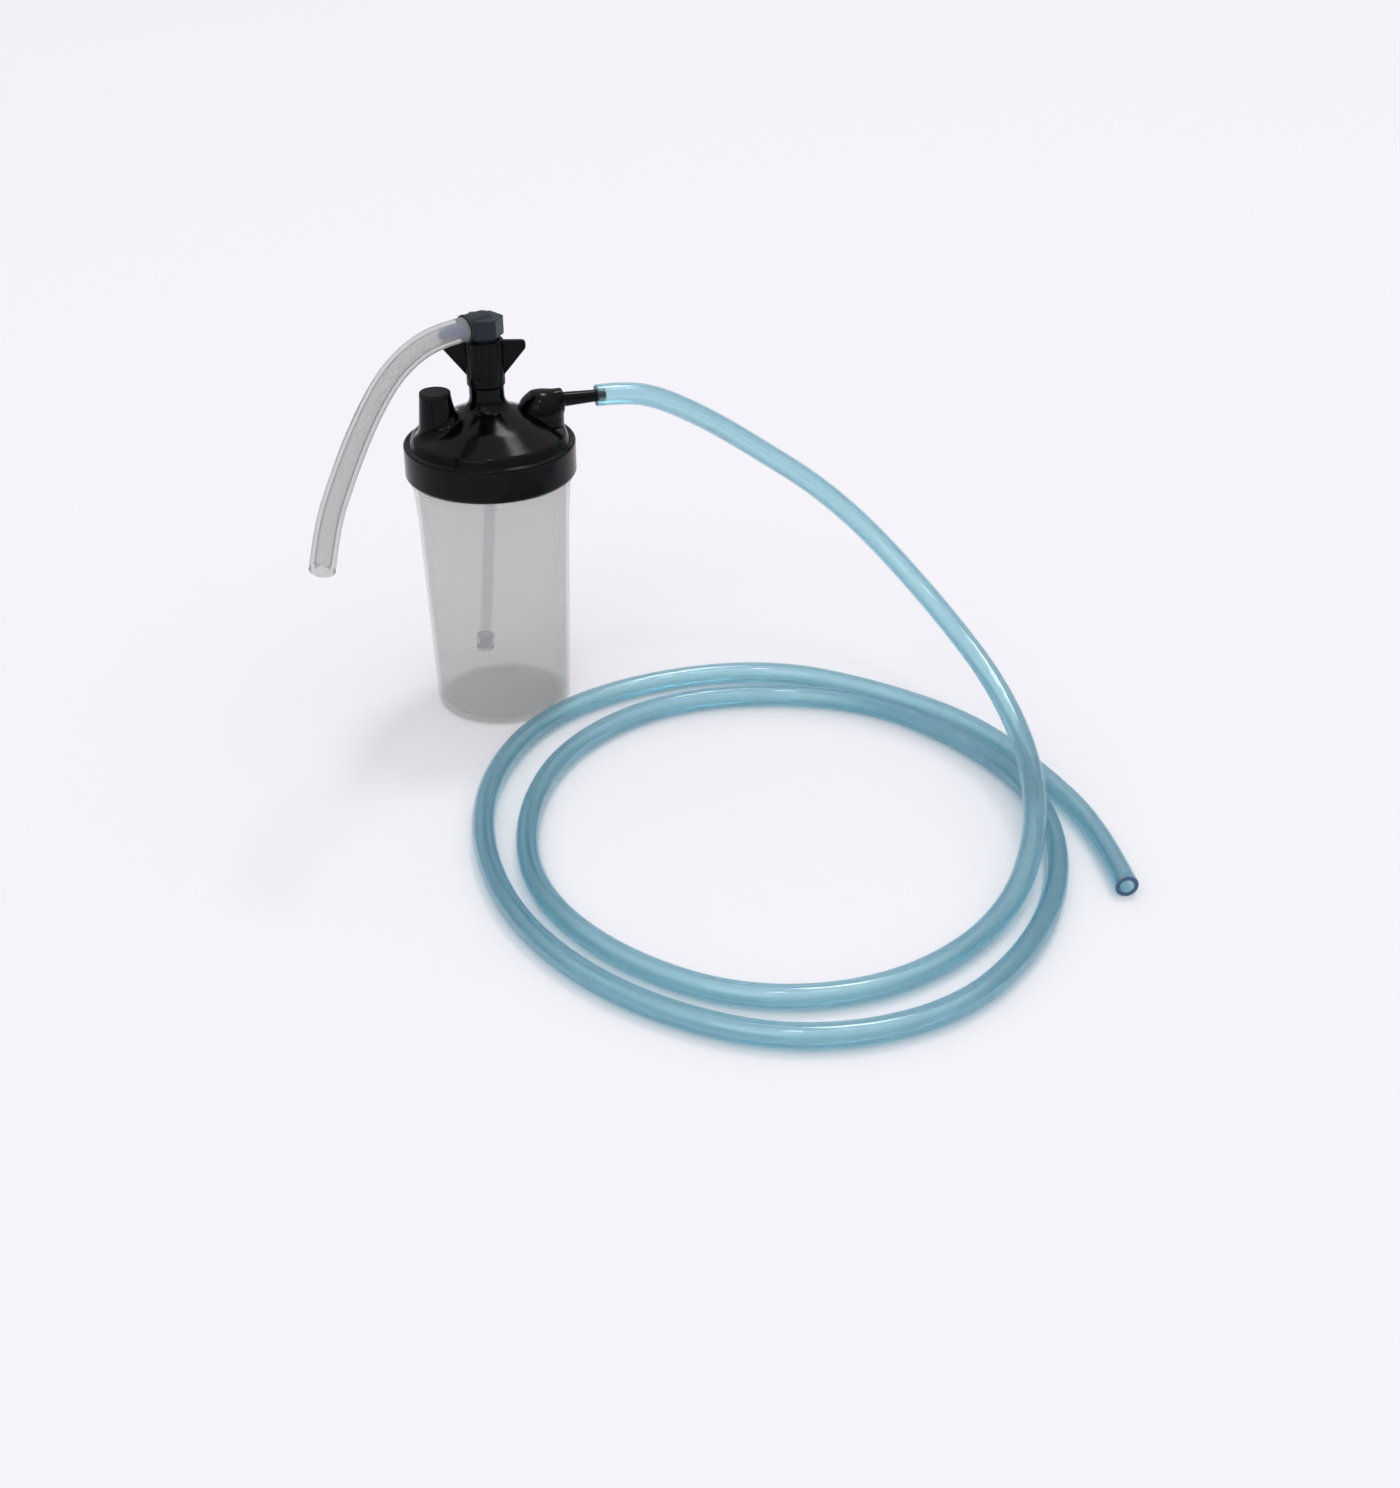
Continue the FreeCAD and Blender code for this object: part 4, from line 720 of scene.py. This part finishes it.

# The faces that lie in the plane of either cut take the second material, the painted blue light.
outlet_hose.data.materials.append(cut_end_painted_blue)
in_plane = 1e-5
for end, inner in ((0, 1), (-1, -2)):
    heading = outlet_line[inner] - outlet_line[end]
    heading /= np.linalg.norm(heading)
    for face in outlet_hose.data.polygons:
        away = np.array(face.center) - outlet_line[end]
        if np.linalg.norm(away) < outlet_radius and abs(away @ heading) < in_plane:
            face.material_index = 1
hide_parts("outlet_hose", "outlet_hose_end")
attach(outlet_hose, "lid")


# ---- Dip tube and diffuser ------------------------------------------------------------------
# A clear polyethylene tube hangs from the lid deep into the jar, with a glassy moulded thimble
# on its end that would break the gas into bubbles.
dip_polyethylene, surface = new_material("dip_polyethylene_extruded")
place = add(dip_polyethylene, "TexCoord").outputs["Object"]
blur = add(dip_polyethylene, "TexNoise", {"Vector": place, "Scale": 300.0, "Detail": 2.0})
frost = add(dip_polyethylene, "MapRange", {"Value": blur.outputs["Fac"], "To Min": 0.03, "To Max": 0.06})
through = add(dip_polyethylene, "BsdfTransparent", {"Color": linear("#FBFBFC")})
cloudy = add(dip_polyethylene, "BsdfTranslucent", {"Color": linear("#E8E8E8")})
tube = add(dip_polyethylene, "MixShader", {
    0: frost.outputs["Result"], 1: through.outputs[0], 2: cloudy.outputs[0]})
dip_polyethylene.node_tree.links.new(tube.outputs[0], surface.inputs["Surface"])

diffuser_styrene, surface = new_material("diffuser_polystyrene_moulded")
place = add(diffuser_styrene, "TexCoord").outputs["Object"]
flow = add(diffuser_styrene, "TexNoise", {"Vector": place, "Scale": 400.0, "Detail": 2.0})
polish = add(diffuser_styrene, "MapRange", {"Value": flow.outputs["Fac"], "To Min": 0.03, "To Max": 0.09})
styrene = add(diffuser_styrene, "BsdfPrincipled", {
    "Base Color": linear("#DDE0E2"), "Roughness": polish.outputs["Result"], "IOR": 1.59,
    "Transmission Weight": 0.95})
diffuser_styrene.node_tree.links.new(styrene.outputs[0], surface.inputs["Surface"])


def finish_node(name, material):
    """Gives a carried-over part its material."""
    nodes[name].data.materials.clear()
    nodes[name].data.materials.append(material)


finish_node("dip_tube", dip_polyethylene)
finish_node("diffuser", diffuser_styrene)


# ---- Pieces inside --------------------------------------------------------------------------
# The gasket, the relief valve, and the nipple with its ring, clip and washer are out of sight
# in the lid and the elbow. Each has the finish of its own stock.
black_rubber = plain_plastic("gasket_nitrile_moulded", "#3A3A3B", 0.6, 0.75, 1000.0)
acetal_white = plain_plastic("poppet_acetal_moulded", "#E4E2DC", 0.35, 0.5, 900.0)
plated_brass, surface = new_material("nipple_brass_plated")
place = add(plated_brass, "TexCoord").outputs["Object"]
lines = add(plated_brass, "Mapping", {"Vector": place, "Scale": (200, 200, 5000)}).outputs[0]
turning = add(plated_brass, "TexNoise", {"Vector": lines, "Scale": 1.0, "Detail": 2.0})
sheen = add(plated_brass, "MapRange", {"Value": turning.outputs["Fac"], "To Min": 0.18, "To Max": 0.35})
metal = add(plated_brass, "BsdfPrincipled", {
    "Base Color": linear("#C9C6BE"), "Metallic": 1.0, "Roughness": sheen.outputs["Result"]})
plated_brass.node_tree.links.new(metal.outputs[0], surface.inputs["Surface"])

for name in ("lid_gasket", "relief_seal", "nipple_o_ring", "elbow_washer"):
    finish_node(name, black_rubber)
finish_node("relief_poppet", acetal_white)
for name in ("relief_spring", "inlet_nipple", "nipple_clip"):
    finish_node(name, plated_brass)


# ---- Table, light and camera ----------------------------------------------------------------
# A pale matt table top under a large soft light high behind, with a small panel overhead and a
# weak fill from the front. The surround is pale, and brighter towards the top.
floor = bpy.data.objects.new("table", bpy.data.meshes.new("table"))
reach = 12.0
floor.data.from_pydata([(-reach, -reach, 0), (reach, -reach, 0), (reach, reach, 0), (-reach, reach, 0)],
                       [], [(0, 1, 2, 3)])
bpy.context.scene.collection.objects.link(floor)
table_paint, surface = new_material("table_paint_matt")
paint = add(table_paint, "BsdfPrincipled", {"Base Color": linear("#FAFAFB"), "Roughness": 0.9,
                                            "Specular IOR Level": 0.1})
table_paint.node_tree.links.new(paint.outputs[0], surface.inputs["Surface"])
floor.data.materials.append(table_paint)

surround = bpy.data.worlds.new("surround")
surround.use_nodes = True
surround.node_tree.nodes.clear()
outwards = add(surround, "TexCoord").outputs["Generated"]
height = add(surround, "SeparateXYZ", {0: outwards}).outputs["Z"]
sky = add(surround, "MapRange", {"Value": height, "To Min": 0.34, "To Max": 1.16}).outputs["Result"]
backdrop = add(surround, "Background", {"Color": linear("#F0EEF4"), "Strength": sky})
add(surround, "OutputWorld", {"Surface": backdrop.outputs[0]})
bpy.context.scene.world = surround

lit_middle = (0.06, -0.1, 0.08)


def soft_light(name, azimuth, elevation, distance, size, power):
    """A soft light that faces the object's middle from an azimuth and elevation."""
    target = Vector(lit_middle)
    round_z, upward = math.radians(azimuth), math.radians(elevation)
    away = Vector((math.cos(round_z) * math.cos(upward), math.sin(round_z) * math.cos(upward),
                   math.sin(upward)))
    light = bpy.data.lights.new(name, "AREA")
    light.shape = "RECTANGLE"
    light.size, light.size_y = size
    light.energy = power
    holder = bpy.data.objects.new(name, light)
    holder.location = target + away * distance
    holder.rotation_euler = (-away).to_track_quat("-Z", "Y").to_euler()
    bpy.context.scene.collection.objects.link(holder)


soft_light("back_window", 45, 67, 9.0, (2.0, 1.6), 110)
soft_light("ceiling_panel", 250, 76, 6.0, (0.5, 0.8), 14)
soft_light("front_fill", 230, 45, 5.0, (2.4, 1.8), 14)

camera = bpy.data.objects.new("camera", bpy.data.cameras.new("camera"))
camera.data.lens = 45.11
camera.data.sensor_width = 36.0
camera.location = (-0.16992, -0.82767, 0.46459)
camera.rotation_euler = Euler((math.radians(59.463), 0, math.radians(-18.416)))
bpy.context.scene.collection.objects.link(camera)
bpy.context.scene.camera = camera
bpy.context.scene.view_settings.view_transform = "Standard"
